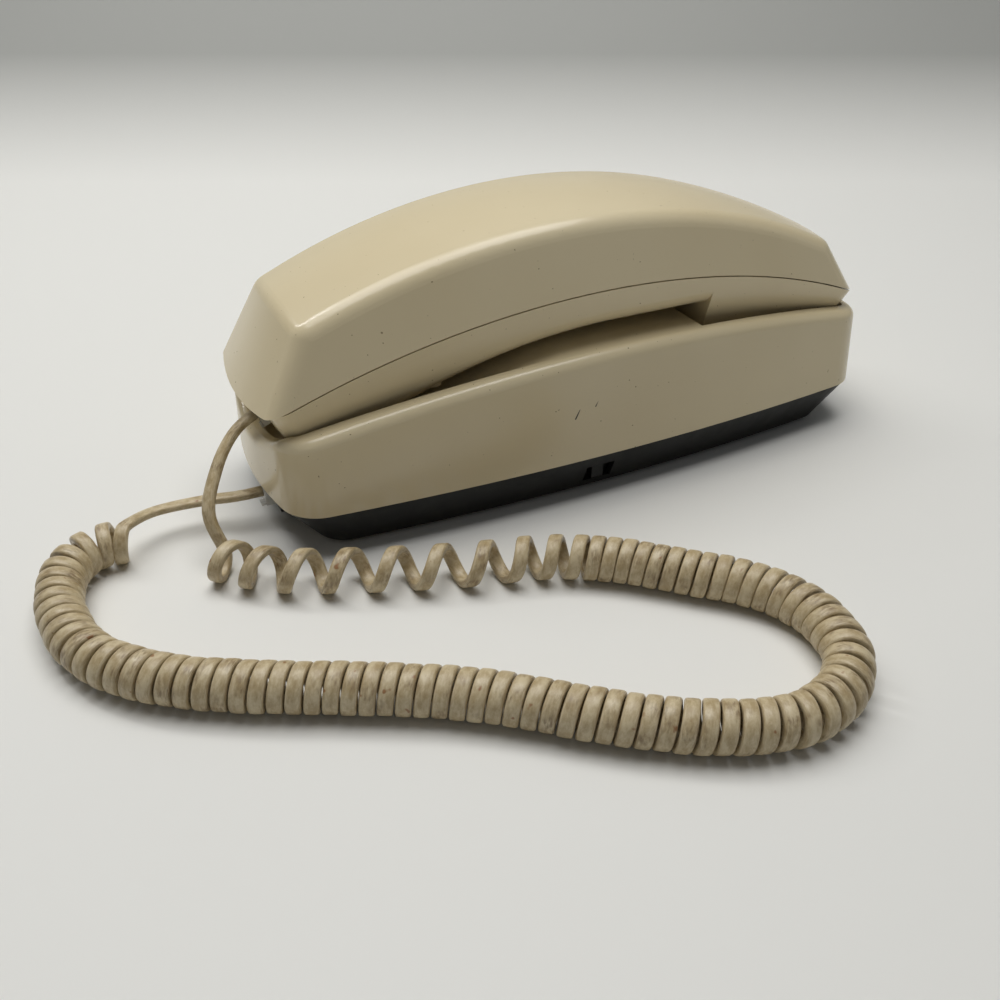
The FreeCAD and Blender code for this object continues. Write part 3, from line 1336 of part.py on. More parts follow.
def curl_frames(radius):
    """Frames every half turn along the curled cord: pitches from the open end, then shut turns."""
    route = smooth_route(CURL_ROUTE, 60)
    lengths = [0]
    for a, b in zip(route, route[1:]):
        lengths.append(lengths[-1] + (b - a).Length)
    total = lengths[-1]

    def curvature(k):
        i = min(max(k, 12), len(route) - 13)
        a = route[i] - route[i - 12]
        b = route[i + 12] - route[i]
        return a.getAngle(b) / ((a.Length + b.Length) / 2)

    def pitch_at(k, turns, stretch):
        if turns < len(OPEN_PITCHES) - 1:
            i = int(turns)
            share = turns - i
            return OPEN_PITCHES[i] * (1 - share) + OPEN_PITCHES[i + 1] * share
        room = D["cord_wire"] + D["turn_gap"]
        return max(D["tight_pitch"], room / (1 - radius * curvature(k))) * stretch

    stretch = 1.0
    for attempt in range(6):
        turns = [0.0]
        for k in range(1, len(route)):
            step = lengths[k] - lengths[k - 1]
            turns.append(turns[-1] + step / pitch_at(k, turns[-1], stretch))
        opened = len(OPEN_PITCHES) - 1
        wanted = math.floor(turns[-1] - 0.75 + 0.5) + 0.75
        stretch = stretch * (turns[-1] - opened) / (wanted - opened)
    frames = []
    k = 0
    count = int(wanted * 2) + 1
    marks = [i / 2.0 for i in range(count)] + [wanted]
    for mark in marks:
        goal = min(mark, turns[-1] - 1e-6)
        while turns[k + 1] < goal:
            k += 1
        share = (goal - turns[k]) / (turns[k + 1] - turns[k])
        centre = route[k] * (1 - share) + route[k + 1] * share
        axis = route[min(k + 2, len(route) - 1)] - route[max(k - 1, 0)]
        axis.normalize()
        side = V(0, 0, 1).cross(axis)
        centre = V(centre.x, centre.y, D["curl_outer"] / 2 + 0.1)
        frames.append((centre, axis, side, mark))
    return frames, total


def least_gap(wire, radius):
    """Least space between turns: measured on points that lie more than half a turn apart."""
    points = wire.discretize(Number=4000)
    step = wire.Length / 3999
    skip = int(math.pi * (D["curl_outer"] / 2) / step)
    cells = {}
    size = 4.0
    least = 100.0
    for i, p in enumerate(points):
        key = (int(p.x // size), int(p.y // size), int(p.z // size))
        cells.setdefault(key, []).append(i)
    for (cx, cy, cz), held in cells.items():
        near = []
        for dx in (-1, 0, 1):
            for dy in (-1, 0, 1):
                for dz in (-1, 0, 1):
                    near.extend(cells.get((cx + dx, cy + dy, cz + dz), []))
        for i in held:
            for j in near:
                if j - i > skip:
                    least = min(least, points[i].distanceToPoint(points[j]))
    return least - 2 * radius


def make_cord():
    radius = D["cord_wide"] / 2
    wire_radius = D["cord_wire"] / 2
    seat = frame_placement(jack_frame())
    start = seat.multVec(V(-D["plug_out"] - 0.05, 0, 0))
    lead_points = [(start.x, start.y, start.z)] + HANDSET_LEAD
    wire, radii = tangent_wire(lead_points)
    lead = tube_along(wire, radius)
    report_tube("handset_lead", lead, wire, radius, radii)
    keep(formed(lead, "handset_lead"), "handset_lead")
    base_points = [(D["base_jack_x"] - D["base_plug_out"], D["cord_side_y"], D["base_jack_z"])] + BASE_LEAD
    wire, radii = tangent_wire(base_points)
    lead = tube_along(wire, radius)
    report_tube("base_lead", lead, wire, radius, radii)
    keep(formed(lead, "base_lead"), "base_lead")
    turn_radius = D["curl_outer"] / 2 - wire_radius
    frames, total = curl_frames(turn_radius)
    points, tangents = helix_points(frames, turn_radius, -1)
    ends = []
    for run in (HANDSET_LEAD, BASE_LEAD):
        tip = V(*run[-1])
        way = tip - V(*run[-2])
        way.normalize()
        ends.append((tip, tip + way * D["cord_wire"], way))
    points = [ends[0][1]] + points + [ends[1][1]]
    tangents = [ends[0][2]] + tangents + [ends[1][2] * -1]
    path = biarc_wire(points, tangents, ends[0][0], ends[1][0])
    coil = tube_along(path, wire_radius, int(D["curl_sides"]))
    sides = D["curl_sides"]
    section = sides / 2 * wire_radius ** 2 * math.sin(2 * math.pi / sides)
    print("curls %.2f, route %.1f mm, cord %.1f mm" % (frames[-1][3], total, path.Length))
    print("curls volume %.1f, section times length %.1f" % (coil.Volume, section * path.Length))
    print("curls least gap %.2f mm" % least_gap(path, wire_radius))
    keep(formed(coil, "curly_cord"), "curly_cord")


def report_tube(name, tube, wire, radius, radii):
    print("%s length %.1f, radii %s" % (name, wire.Length, ", ".join("%.0f" % r for r in radii)))
    print("%s volume %.1f, section times length %.1f" % (name, tube.Volume, math.pi * radius ** 2 * wire.Length))


make_base_housing()
make_bottom_pan()
make_feet_and_pan_screws()
make_card()
make_hook_switch()
make_network()
make_ringer()
make_loudness_slider()
make_jack("cord_jack", ("base_jack_x", "cord_side_y", "base_jack_z", 0))
make_jack("line_jack", ("base_jack_x", "line_jack_y", "base_jack_z", 0))
make_plug("base_plug", ("base_jack_x", "cord_side_y", "base_jack_z", 0), "base_plug_out")
make_handset_back()
make_handset_face()
make_handset_screws()
HANDSET_JACK = ("handset_jack_x", "cord_side_y", "handset_jack_z", -D["jack_tilt"])
make_jack("handset_jack", HANDSET_JACK, "handset_wall + 0.2")
make_plug("handset_plug", HANDSET_JACK, "plug_out")
make_keys()
make_capsules()
make_cord()
doc.recompute()

failed = [item.Name for item in doc.Objects if "Invalid" in item.State or "Error" in item.State]
for item in NODES:
    if item.Shape.isNull() or not item.Shape.isValid() or not item.Shape.Solids:
        failed.append(item.Label)
if failed:
    raise SystemExit("failed: " + ", ".join(failed))
os.makedirs("parts", exist_ok=True)
for item in NODES:
    item.Shape.exportStep("parts/" + item.Label + ".step")
print("%d sub-parts written" % len(NODES))
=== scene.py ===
import bpy
import json
import math
from mathutils import Matrix, Vector


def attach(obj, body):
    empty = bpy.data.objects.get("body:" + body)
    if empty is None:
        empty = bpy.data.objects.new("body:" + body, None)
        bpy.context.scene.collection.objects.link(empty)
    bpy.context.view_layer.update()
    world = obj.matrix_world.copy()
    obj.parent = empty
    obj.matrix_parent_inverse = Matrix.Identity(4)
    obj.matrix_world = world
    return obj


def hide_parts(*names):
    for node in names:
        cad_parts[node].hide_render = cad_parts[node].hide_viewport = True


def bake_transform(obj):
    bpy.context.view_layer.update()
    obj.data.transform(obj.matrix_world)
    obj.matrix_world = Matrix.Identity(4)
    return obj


# Slimline telephone, face down on its base, with a curly cord. Metres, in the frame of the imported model:
# X along the phone (+X the ear end), Z up, origin under the middle of the base.

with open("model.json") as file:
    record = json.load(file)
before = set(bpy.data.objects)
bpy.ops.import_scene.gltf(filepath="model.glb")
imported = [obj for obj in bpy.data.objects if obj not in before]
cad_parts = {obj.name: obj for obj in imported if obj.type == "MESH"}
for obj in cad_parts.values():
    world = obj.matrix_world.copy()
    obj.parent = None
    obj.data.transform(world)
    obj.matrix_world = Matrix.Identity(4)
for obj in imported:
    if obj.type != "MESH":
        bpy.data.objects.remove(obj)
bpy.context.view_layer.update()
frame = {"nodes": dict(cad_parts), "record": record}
nodes = frame["nodes"]
scene = bpy.context.scene
mm = 0.001
print("frame loaded", len(nodes), "nodes")

# Camera first: the photograph's view

cameraValues = {
    "place": (-0.154, -0.269, 0.178),
    "pitchDown": 33.6,
    "yawTowardsX": 26.1,
    "lens": 36.0,
    "sensor": 36.0,
}
cameraData = bpy.data.cameras.new("photoCamera")
cameraData.lens = cameraValues["lens"]
cameraData.sensor_width = cameraValues["sensor"]
cameraData.clip_start = 0.01
camera = bpy.data.objects.new("photoCamera", cameraData)
scene.collection.objects.link(camera)
camera.location = cameraValues["place"]
camera.rotation_euler = (
    math.radians(90 - cameraValues["pitchDown"]),
    0,
    math.radians(-cameraValues["yawTowardsX"]),
)
scene.camera = camera

# Node helpers


def newMaterial(name):
    material = bpy.data.materials.new(name)
    material.use_nodes = True
    tree = material.node_tree
    shader = tree.nodes["Principled BSDF"]
    return material, tree, shader


def addNode(tree, kind, **values):
    node = tree.nodes.new(kind)
    for key, value in values.items():
        if key.startswith("in_"):
            node.inputs[key[3:].replace("_", " ")].default_value = value
        else:
            setattr(node, key, value)
    return node


def coordsOf(tree, output, scale=(1, 1, 1)):
    coords = addNode(tree, "ShaderNodeTexCoord")
    mapping = addNode(tree, "ShaderNodeMapping", in_Scale=scale)
    tree.links.new(coords.outputs[output], mapping.inputs["Vector"])
    return mapping.outputs["Vector"]


def noiseOf(tree, vector, scale, detail, roughness=0.5):
    noise = addNode(tree, "ShaderNodeTexNoise", in_Scale=scale, in_Detail=detail, in_Roughness=roughness)
    tree.links.new(vector, noise.inputs["Vector"])
    return noise.outputs["Fac"]


def ramp(tree, value, low, high, toLow=0.0, toHigh=1.0):
    remap = addNode(tree, "ShaderNodeMapRange", in_From_Min=low, in_From_Max=high, in_To_Min=toLow,
                    in_To_Max=toHigh)
    tree.links.new(value, remap.inputs["Value"])
    return remap.outputs["Result"]


def patches(tree, vector, noise, span):
    # noise: its scale, detail and roughness; span: the part of it that is used, and what that becomes
    return ramp(tree, noiseOf(tree, vector, *noise), *span)


def mixColour(tree, factor, first, second):
    mix = addNode(tree, "ShaderNodeMix", data_type="RGBA")
    tree.links.new(factor, mix.inputs["Factor"])
    for socket, value in ((mix.inputs[6], first), (mix.inputs[7], second)):
        if isinstance(value, tuple):
            socket.default_value = (*value, 1)
        else:
            tree.links.new(value, socket)
    return mix.outputs[2]


def mathNode(tree, operation, first, second):
    node = addNode(tree, "ShaderNodeMath", operation=operation)
    for socket, value in ((node.inputs[0], first), (node.inputs[1], second)):
        if isinstance(value, (int, float)):
            socket.default_value = value
        else:
            tree.links.new(value, socket)
    return node.outputs[0]


def bumpFrom(tree, shader, height, strength, distance):
    bump = addNode(tree, "ShaderNodeBump", in_Strength=strength, in_Distance=distance)
    tree.links.new(height, bump.inputs["Height"])
    tree.links.new(bump.outputs["Normal"], shader.inputs["Normal"])


def strokeMask(tree, start, end, width, core):
    # 1 inside a short stroke from start to end, fading out from the core to the full width
    coords = addNode(tree, "ShaderNodeTexCoord")
    run = Vector(end) - Vector(start)
    offset = addNode(tree, "ShaderNodeVectorMath", operation="SUBTRACT")
    offset.inputs[1].default_value = start
    tree.links.new(coords.outputs["Object"], offset.inputs[0])
    along = addNode(tree, "ShaderNodeVectorMath", operation="DOT_PRODUCT")
    along.inputs[1].default_value = run / run.length_squared
    tree.links.new(offset.outputs[0], along.inputs[0])
    share = mathNode(tree, "MINIMUM", mathNode(tree, "MAXIMUM", along.outputs["Value"], 0.0), 1.0)
    foot = addNode(tree, "ShaderNodeVectorMath", operation="SCALE")
    foot.inputs[0].default_value = run
    tree.links.new(share, foot.inputs["Scale"])
    apart = addNode(tree, "ShaderNodeVectorMath", operation="DISTANCE")
    tree.links.new(offset.outputs[0], apart.inputs[0])
    tree.links.new(foot.outputs[0], apart.inputs[1])
    return ramp(tree, apart.outputs["Value"], width * core, width, 1.0, 0.0)


# Materials

creamValues = {
    "plain": (0.735, 0.635, 0.425),
    "yellowed": (0.69, 0.585, 0.375),
    "speck": (0.30, 0.23, 0.13),
    "scratch": (0.05, 0.04, 0.025),
    "broadNoise": (14, 2.0),
    "broadSpan": (0.35, 0.7),
    "speckNoise": (900, 1.0),
    "speckSpan": (0.775, 0.80),
    "smudgeNoise": (30, 2.0),
    "smudgeSpan": (0.25, 0.75, 0.20, 0.28),
    "peelNoise": (420, 2.0),
    "peelBump": (0.25, 0.00002),
    "specular": 0.5,
    "coat": 0.15,
    "coatRoughness": 0.12,
    # two short dark scratches on the side of the base
    "scratches": [
        ((-0.0155, -0.0388, 0.0298), (-0.0140, -0.0388, 0.0325)),
        ((-0.0085, -0.0388, 0.0325), (-0.0076, -0.0388, 0.0340)),
    ],
    "scratchWidth": 0.00032,
    "scratchCore": 0.6,
}


def creamPlastic(name, values, scratched=False):
    material, tree, shader = newMaterial(name)
    place = coordsOf(tree, "Object")
    broad = patches(tree, place, values["broadNoise"], values["broadSpan"])
    colour = mixColour(tree, broad, values["plain"], values["yellowed"])
    specks = patches(tree, place, values["speckNoise"], values["speckSpan"])
    colour = mixColour(tree, specks, colour, values["speck"])
    if scratched:
        for start, end in values["scratches"]:
            mask = strokeMask(tree, start, end, values["scratchWidth"], values["scratchCore"])
            colour = mixColour(tree, mask, colour, values["scratch"])
    tree.links.new(colour, shader.inputs["Base Color"])
    smudge = patches(tree, place, values["smudgeNoise"], values["smudgeSpan"])
    tree.links.new(smudge, shader.inputs["Roughness"])
    shader.inputs["Specular IOR Level"].default_value = values["specular"]
    shader.inputs["Coat Weight"].default_value = values["coat"]
    shader.inputs["Coat Roughness"].default_value = values["coatRoughness"]
    bumpFrom(tree, shader, noiseOf(tree, place, *values["peelNoise"]), *values["peelBump"])
    return material


blackValues = {
    "plain": (0.006, 0.006, 0.005),
    "dusty": (0.016, 0.016, 0.013),
    "dustNoise": (160, 6.0, 0.65),
    "dustSpan": (0.48, 0.75),
    "roughNoise": (90, 4.0),
    "roughSpan": (0.3, 0.7, 0.38, 0.58),
    "grainNoise": (2600, 2.0),
    "grainBump": (0.3, 0.00003),
    "specular": 0.3,
}


def blackPlastic(name, values):
    material, tree, shader = newMaterial(name)
    place = coordsOf(tree, "Object")
    dust = patches(tree, place, values["dustNoise"], values["dustSpan"])
    tree.links.new(mixColour(tree, dust, values["plain"], values["dusty"]), shader.inputs["Base Color"])
    rough = patches(tree, place, values["roughNoise"], values["roughSpan"])
    tree.links.new(rough, shader.inputs["Roughness"])
    shader.inputs["Specular IOR Level"].default_value = values["specular"]
    bumpFrom(tree, shader, noiseOf(tree, place, *values["grainNoise"]), *values["grainBump"])
    return material


cordValues = {
    "plain": (0.60, 0.505, 0.33),
    "tan": (0.40, 0.305, 0.165),
    "grime": (0.17, 0.105, 0.05),
    "rust": (0.26, 0.11, 0.035),
    # each scale: along the cord, round it
    "streakScale": (230, 7, 1),
    "streakNoise": (1.0, 5.0, 0.7),
    "streakSpan": (0.40, 0.62),
    "patchNoise": (170, 4.0),
    "patchSpan": (0.50, 0.66, 0.0, 0.75),
    "grimeScale": (500, 26, 1),
    "grimeNoise": (1.0, 3.0),
    "grimeSpan": (0.40, 0.62),
    "rustNoise": (330, 1.0),
    "rustSpan": (0.735, 0.78, 0.0, 0.85),
    "roughNoise": (300, 4.0),
    "roughSpan": (0.3, 0.7, 0.30, 0.50),
    "ribScale": (500, 16, 1),
    "ribNoise": (1.0, 3.0),
    "ribBump": (0.45, 0.00012),
    "wide": 0.00395,
    "thick": 0.0023,
    # powers that round the section off; 1 is an ellipse, 0 a rectangle
    "cornerAcross": 0.42,
    "cornerThrough": 0.62,
    "outerRadius": 0.0065,
    "turnSteps": 16,
    "sectionSteps": 14,
    "splineSteps": 3,
    "controlOutset": 0.55,
}


def cordPlastic(name, values):
    material, tree, shader = newMaterial(name)
    place = coordsOf(tree, "Object")
    streakPlace = coordsOf(tree, "UV", values["streakScale"])
    streaks = patches(tree, streakPlace, values["streakNoise"], values["streakSpan"])
    colour = mixColour(tree, streaks, values["plain"], values["tan"])
    grimePatch = patches(tree, place, values["patchNoise"], values["patchSpan"])
    grimePlace = coordsOf(tree, "UV", values["grimeScale"])
    grimeStreak = patches(tree, grimePlace, values["grimeNoise"], values["grimeSpan"])
    grime = mathNode(tree, "MULTIPLY", grimePatch, grimeStreak)
    colour = mixColour(tree, grime, colour, values["grime"])
    rust = patches(tree, place, values["rustNoise"], values["rustSpan"])
    colour = mixColour(tree, rust, colour, values["rust"])
    tree.links.new(colour, shader.inputs["Base Color"])
    rough = patches(tree, place, values["roughNoise"], values["roughSpan"])
    tree.links.new(rough, shader.inputs["Roughness"])
    ribs = noiseOf(tree, coordsOf(tree, "UV", values["ribScale"]), *values["ribNoise"])
    bumpFrom(tree, shader, ribs, *values["ribBump"])
    return material


plainValues = {
    "shadeDetail": 4.0,
    "roughDetail": 3.0,
    "span": (0.3, 0.7),
    "roughSpread": 0.2,
}


def plainFinish(name, colour, roughness, metallic=0.0, grain=300, spread=0.15, alpha=1.0):
    material, tree, shader = newMaterial(name)
    place = coordsOf(tree, "Object")
    span = plainValues["span"]
    darker = tuple(c * (1 - spread) for c in colour)
    lighter = tuple(min(c * (1 + spread), 1) for c in colour)
    shade = patches(tree, place, (grain, plainValues["shadeDetail"]), span)
    tree.links.new(mixColour(tree, shade, darker, lighter), shader.inputs["Base Color"])
    apart = roughness * plainValues["roughSpread"]
    rough = patches(tree, place, (grain * 2, plainValues["roughDetail"]),
                    (*span, roughness - apart, roughness + apart))
    tree.links.new(rough, shader.inputs["Roughness"])
    shader.inputs["Metallic"].default_value = metallic
    shader.inputs["Alpha"].default_value = alpha
    return material


finishes = {
    "cream_shell": creamPlastic("creamShell", creamValues),
    "cream_keys": creamPlastic("creamKeys", {**creamValues, "plain": (0.80, 0.73, 0.56)}),
    "black_shell": blackPlastic("blackShell", blackValues),
    "black_rubber": plainFinish("blackRubber", (0.02, 0.02, 0.02), 0.8),
    "clear_plastic": plainFinish("clearPlastic", (0.84, 0.83, 0.78), 0.10, spread=0.03, alpha=0.42),
    "cream_cord": cordPlastic("creamCord", cordValues),
    "steel": plainFinish("steel", (0.60, 0.60, 0.60), 0.28, 1.0),
    "dark_metal": plainFinish("darkMetal", (0.10, 0.10, 0.11), 0.45, 0.4),
    "contact_metal": plainFinish("contactMetal", (0.72, 0.58, 0.30), 0.3, 1.0),
    "bell_metal": plainFinish("bellMetal", (0.66, 0.52, 0.26), 0.22, 1.0, 120),
    "copper_winding": plainFinish("copperWinding", (0.50, 0.20, 0.08), 0.35, 0.6, 1500),
    "board": plainFinish("board", (0.42, 0.32, 0.13), 0.55, 0.0, 700),
    "card": plainFinish("card", (0.86, 0.84, 0.76), 0.8, 0.0, 900, 0.04),
    "foam": plainFinish("foam", (0.05, 0.05, 0.05), 0.95, 0.0, 1800, 0.4),
}
scratchedCream = creamPlastic("creamBase", creamValues, scratched=True)
for part in frame["record"]["subparts"]:
    piece = nodes[part["node"]]
    finish = finishes[part["material_slot"]]
    if part["node"] == "base_housing":
        finish = scratchedCream
    for materialSlot in piece.material_slots:
        materialSlot.material = finish
    if not piece.material_slots:
        piece.data.materials.append(finish)
print("materials set")

# Cord: route points, in millimetres

curlRoute = [
    (-127, -28), (-115.5, -40.5), (-97, -49.5), (-79, -57), (-60, -64), (-41, -69),
    (-24, -79), (-9, -93.5), (4, -105), (12, -122), (7, -143), (-14, -153), (-36, -146),
    (-58, -131), (-80, -111.5), (-104, -97.5), (-128, -85.5), (-149, -73), (-165, -56),
    (-169.5, -34), (-166.5, -18), (-160.5, -10), (-152, -7.5), (-147.5, -9),
]
openPitches = [7.5, 9.5, 11, 12, 13.5, 12.5, 13.5, 11.5, 9.5, 7.5, 6]
handsetLead = [
    (-108.6, -4.5, 34.48), (-112.8, -6.2, 31.8), (-117, -9, 28), (-120.8, -12.8, 23.2),
    (-124.2, -16.8, 18), (-125.2, -20.2, 13.4),
]
baseLead = [
    (-113.6, -4.5, 9.6), (-120.5, -1.6, 9.1), (-127.5, -0.4, 8.9), (-134.5, -0.6, 9.3),
    (-140.6, -2.6, 10.2),
]
routeValues = {
    "handsetExit": (-104.44, -4.5, 36.42),
    "baseExit": (-106.1, -4.5, 9.6),
    "routeSteps": 40,
    # points of the route, each way, over which its bend is read
    "reach": 14,
    "tightPitch": 4.45,
    "turnRoom": 4.05,
    "pitchRadius": 4.9,
    # the tight pitch is stretched until the curls end on this share of a turn
    "lastTurn": 0.75,
    "stretchTries": 6,
    # each wave sideways: how far, how fast per turn, where it starts
    "swayWaves": [(0.12, 2.1, 0), (0.084, 5.3, 1)],
    "swayTurns": 3,
    "tableGap": 0.05,
}


def splineLine(points, steps):
    # points along a smooth spline that has these as its control points
    curve = bpy.data.curves.new("routeLine", "CURVE")
    curve.dimensions = "3D"
    curve.resolution_u = steps
    spline = curve.splines.new("NURBS")
    spline.points.add(len(points) - 1)
    for target, point in zip(spline.points, points):
        target.co = (*point, 1)
    spline.order_u = 3
    spline.use_endpoint_u = True
    holder = bpy.data.objects.new("routeLine", curve)
    scene.collection.objects.link(holder)
    bpy.context.view_layer.update()
    mesh = bpy.data.meshes.new_from_object(holder)
    line = [vertex.co.copy() for vertex in mesh.vertices]
    bpy.data.meshes.remove(mesh)
    bpy.data.objects.remove(holder)
    bpy.data.curves.remove(curve)
    return line


def lengthsAlong(line):
    lengths = [0.0]
    for before, after in zip(line, line[1:]):
        lengths.append(lengths[-1] + (after - before).length)
    return lengths


def turnsAlong(line, lengths, radius, stretch):
    # how many curls there are up to each point of the route
    reach = routeValues["reach"]
    turns = [0.0]
    for i in range(1, len(line)):
        k = min(max(i, reach), len(line) - 1 - reach)
        before = line[k] - line[k - reach]
        after = line[k + reach] - line[k]
        curvature = before.angle(after) * 2 / (before.length + after.length)
        done = turns[-1]
        if done < len(openPitches) - 1:
            share = done - int(done)
            pitch = openPitches[int(done)] * (1 - share) + openPitches[int(done) + 1] * share
        else:
            bentPitch = routeValues["turnRoom"] / (1 - radius * curvature)
            pitch = max(routeValues["tightPitch"], bentPitch) * stretch
        turns.append(done + (lengths[i] - lengths[i - 1]) / pitch)
    return turns


def curlPoints(radius, steps):
    # helix round the route: one point and one axis direction for every step of a turn
    line = splineLine([(x, y, 0) for x, y in curlRoute], routeValues["routeSteps"])
    lengths = lengthsAlong(line)
    opened = len(openPitches) - 1
    lastTurn = routeValues["lastTurn"]
    stretch = 1.0
    for attempt in range(routeValues["stretchTries"]):
        turns = turnsAlong(line, lengths, routeValues["pitchRadius"], stretch)
        wanted = math.floor(turns[-1] - (1 - lastTurn)) + lastTurn
        stretch *= (turns[-1] - opened) / (wanted - opened)
    points = []
    axes = []
    k = 0
    for i in range(int(wanted * steps) + 1):
        turn = i / steps
        while k < len(turns) - 2 and turns[k + 1] < turn:
            k += 1
        share = (turn - turns[k]) / (turns[k + 1] - turns[k])
        centre = line[k].lerp(line[k + 1], share)
        axis = (line[min(k + 2, len(line) - 1)] - line[max(k - 1, 0)]).normalized()
        side = Vector((-axis.y, axis.x, 0))
        tight = min(max((turn - opened) / routeValues["swayTurns"], 0), 1)
        sway = sum(far * math.sin(turn * pace + start) for far, pace, start in routeValues["swayWaves"])
        centre = centre + side * sway * tight
        centre.z = cordValues["outerRadius"] / mm + routeValues["tableGap"]
        angle = 2 * math.pi * turn
        out = side * math.cos(angle) - Vector((0, 0, 1)) * math.sin(angle)
        points.append(centre + out * radius)
        axes.append(axis)
    return points, axes, wanted


def bandSection(values):
    # flat cord's outline in millimetres: a rounded rectangle, slightly crowned
    outline = []
    for i in range(values["sectionSteps"]):
        angle = 2 * math.pi * (i + 0.5) / values["sectionSteps"]
        across = math.copysign(abs(math.cos(angle)) ** values["cornerAcross"], math.cos(angle))
        through = math.copysign(abs(math.sin(angle)) ** values["cornerThrough"], math.sin(angle))
        outline.append((across * values["wide"] / 2 / mm, through * values["thick"] / 2 / mm))
    return outline


def smoothStep(share):
    return share * share * (3 - 2 * share)


def buildCord():
    radius = (cordValues["outerRadius"] - cordValues["thick"] / 2) / mm
    steps = cordValues["turnSteps"]
    # control points stand a little outside the curve that they give
    outset = 1 + cordValues["controlOutset"] * (math.pi / steps) ** 2
    curls, axes, turnCount = curlPoints(radius * outset, steps)
    head = [Vector(routeValues["handsetExit"])] + [Vector(p) for p in handsetLead]
    tail = [Vector(p) for p in reversed(baseLead)] + [Vector(routeValues["baseExit"])]
    controls = head + curls + tail
    # width direction: across the plug at each end, along the curls' axis between the leads
    plugAcross = Vector((0, 1, 0))
    widths = [plugAcross.lerp(-axes[0], smoothStep(i / len(head))) for i in range(len(head))]
    widths += [-axis for axis in axes]
    widths += [plugAcross.lerp(-axes[-1], smoothStep(1 - (i + 1) / len(tail))) for i in range(len(tail))]
    line = splineLine(controls, cordValues["splineSteps"])
    spans = len(line) - 1
    section = bandSection(cordValues)
    count = len(section)
    vertices = []
    uvRows = []
    travelled = lengthsAlong(line)
    for i, point in enumerate(line):
        place = i / spans * (len(controls) - 1)
        k = min(int(place), len(controls) - 2)
        across = widths[k].lerp(widths[k + 1], place - k)
        tangent = (line[min(i + 1, spans)] - line[max(i - 1, 0)]).normalized()
        across = (across - tangent * across.dot(tangent)).normalized()
        out = tangent.cross(across)
        for a, b in section:
            vertices.append((point + across * a + out * b) * mm)
        uvRows.append(travelled[i] * mm)
    faces = []
    for i in range(spans):
        for j in range(count):
            n = (j + 1) % count
            faces.append((i * count + j, i * count + n, (i + 1) * count + n, (i + 1) * count + j))
    faces.append(tuple(reversed(range(count))))
    faces.append(tuple(range(spans * count, (spans + 1) * count)))
    mesh = bpy.data.meshes.new("curlyCord")
    mesh.from_pydata(vertices, [], faces)
    uvLayer = mesh.uv_layers.new(name="alongCord")
    for polygon in mesh.polygons:
        wraps = {index % count for index in polygon.vertices} == {0, count - 1}
        for loop in polygon.loop_indices:
            index = mesh.loops[loop].vertex_index
            around = index % count
            if wraps and around == 0:
                around = count
            uvLayer.data[loop].uv = (uvRows[index // count], around / count)
    mesh.shade_smooth()
    mesh.validate()
    cord = bpy.data.objects.new("curly_cord_band", mesh)
    scene.collection.objects.link(cord)
    mesh.materials.append(finishes["cream_cord"])
    print("cord", round(travelled[-1] * mm, 3), "m in", turnCount, "curls")
    return cord, [point * mm for point in line], travelled[-1] * mm


cordPiece, cordLine, cordLength = buildCord()
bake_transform(cordPiece)
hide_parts("handset_lead", "curly_cord", "base_lead")

# Digits on the keys

keyValues = {
    "middleX": -17.5,
    "arcX": 3,
    "arcRadius": 164,
    "gripHeight": 53.2,
    "pitchAlong": 14.0,
    "pitchAcross": 14.6,
    "proud": 1.5,
    "letterHigh": 5.4,
    "letterShare": 0.7,
    "inkThick": 0.015,
    "inkGap": 0.02,
    "ink": (0.03, 0.028, 0.025),
    "inkRoughness": 0.5,
    "rows": [["1", "2", "3"], ["4", "5", "6"], ["7", "8", "9"], ["*", "0", "#"]],
    # the key node that stands under each sign
    "under": [["key_3", "key_2", "key_1"], ["key_6", "key_5", "key_4"], ["key_9", "key_8", "key_7"],
              ["key_hash", "key_0", "key_star"]],
    "spoken": {"*": "star", "#": "hash"},
}


def signMesh(sign, values):
    curve = bpy.data.curves.new("digit", "FONT")
    curve.body = sign
    curve.size = values["letterHigh"] / values["letterShare"] * mm
    curve.align_x = "CENTER"
    curve.align_y = "CENTER"
    curve.extrude = values["inkThick"] * mm
    digit = bpy.data.objects.new("digit", curve)
    scene.collection.objects.link(digit)
    bpy.context.view_layer.update()
    mesh = bpy.data.meshes.new_from_object(digit)
    bpy.data.objects.remove(digit)
    bpy.data.curves.remove(curve)
    return mesh


def addDigits(values):
    ink = plainFinish("keyInk", values["ink"], values["inkRoughness"])
    run = values["middleX"] - values["arcX"]
    tilt = math.asin(-run / values["arcRadius"])
    level = values["gripHeight"] - values["arcRadius"] + math.sqrt(values["arcRadius"] ** 2 - run ** 2)
    along = Vector((math.cos(tilt), 0, math.sin(tilt)))
    inward = Vector((-math.sin(tilt), 0, math.cos(tilt)))
    right = Vector((0, 1, 0))
    origin = Vector((values["middleX"], 0, level))
    turn = Matrix((right, along, -inward)).transposed().to_4x4()
    for i, row in enumerate(values["rows"]):
        x = ((len(values["rows"]) - 1) / 2 - i) * values["pitchAlong"]
        depth = -x * x / (2 * values["arcRadius"]) - values["proud"] - values["inkGap"]
        for j, sign in enumerate(row):
            y = (j - (len(row) - 1) / 2) * values["pitchAcross"]
            centre = (origin + along * x + right * y + inward * depth) * mm
            mesh = signMesh(sign, values)
            mesh.transform(Matrix.Translation(centre) @ turn)
            mesh.materials.clear()
            mesh.materials.append(ink)
            piece = bpy.data.objects.new("sign_" + values["spoken"].get(sign, sign), mesh)
            scene.collection.objects.link(piece)
            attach(piece, values["under"][i][j])


addDigits(keyValues)
print("digits done")

# Stage: a pale sweep, soft light from above and a faint glint from behind

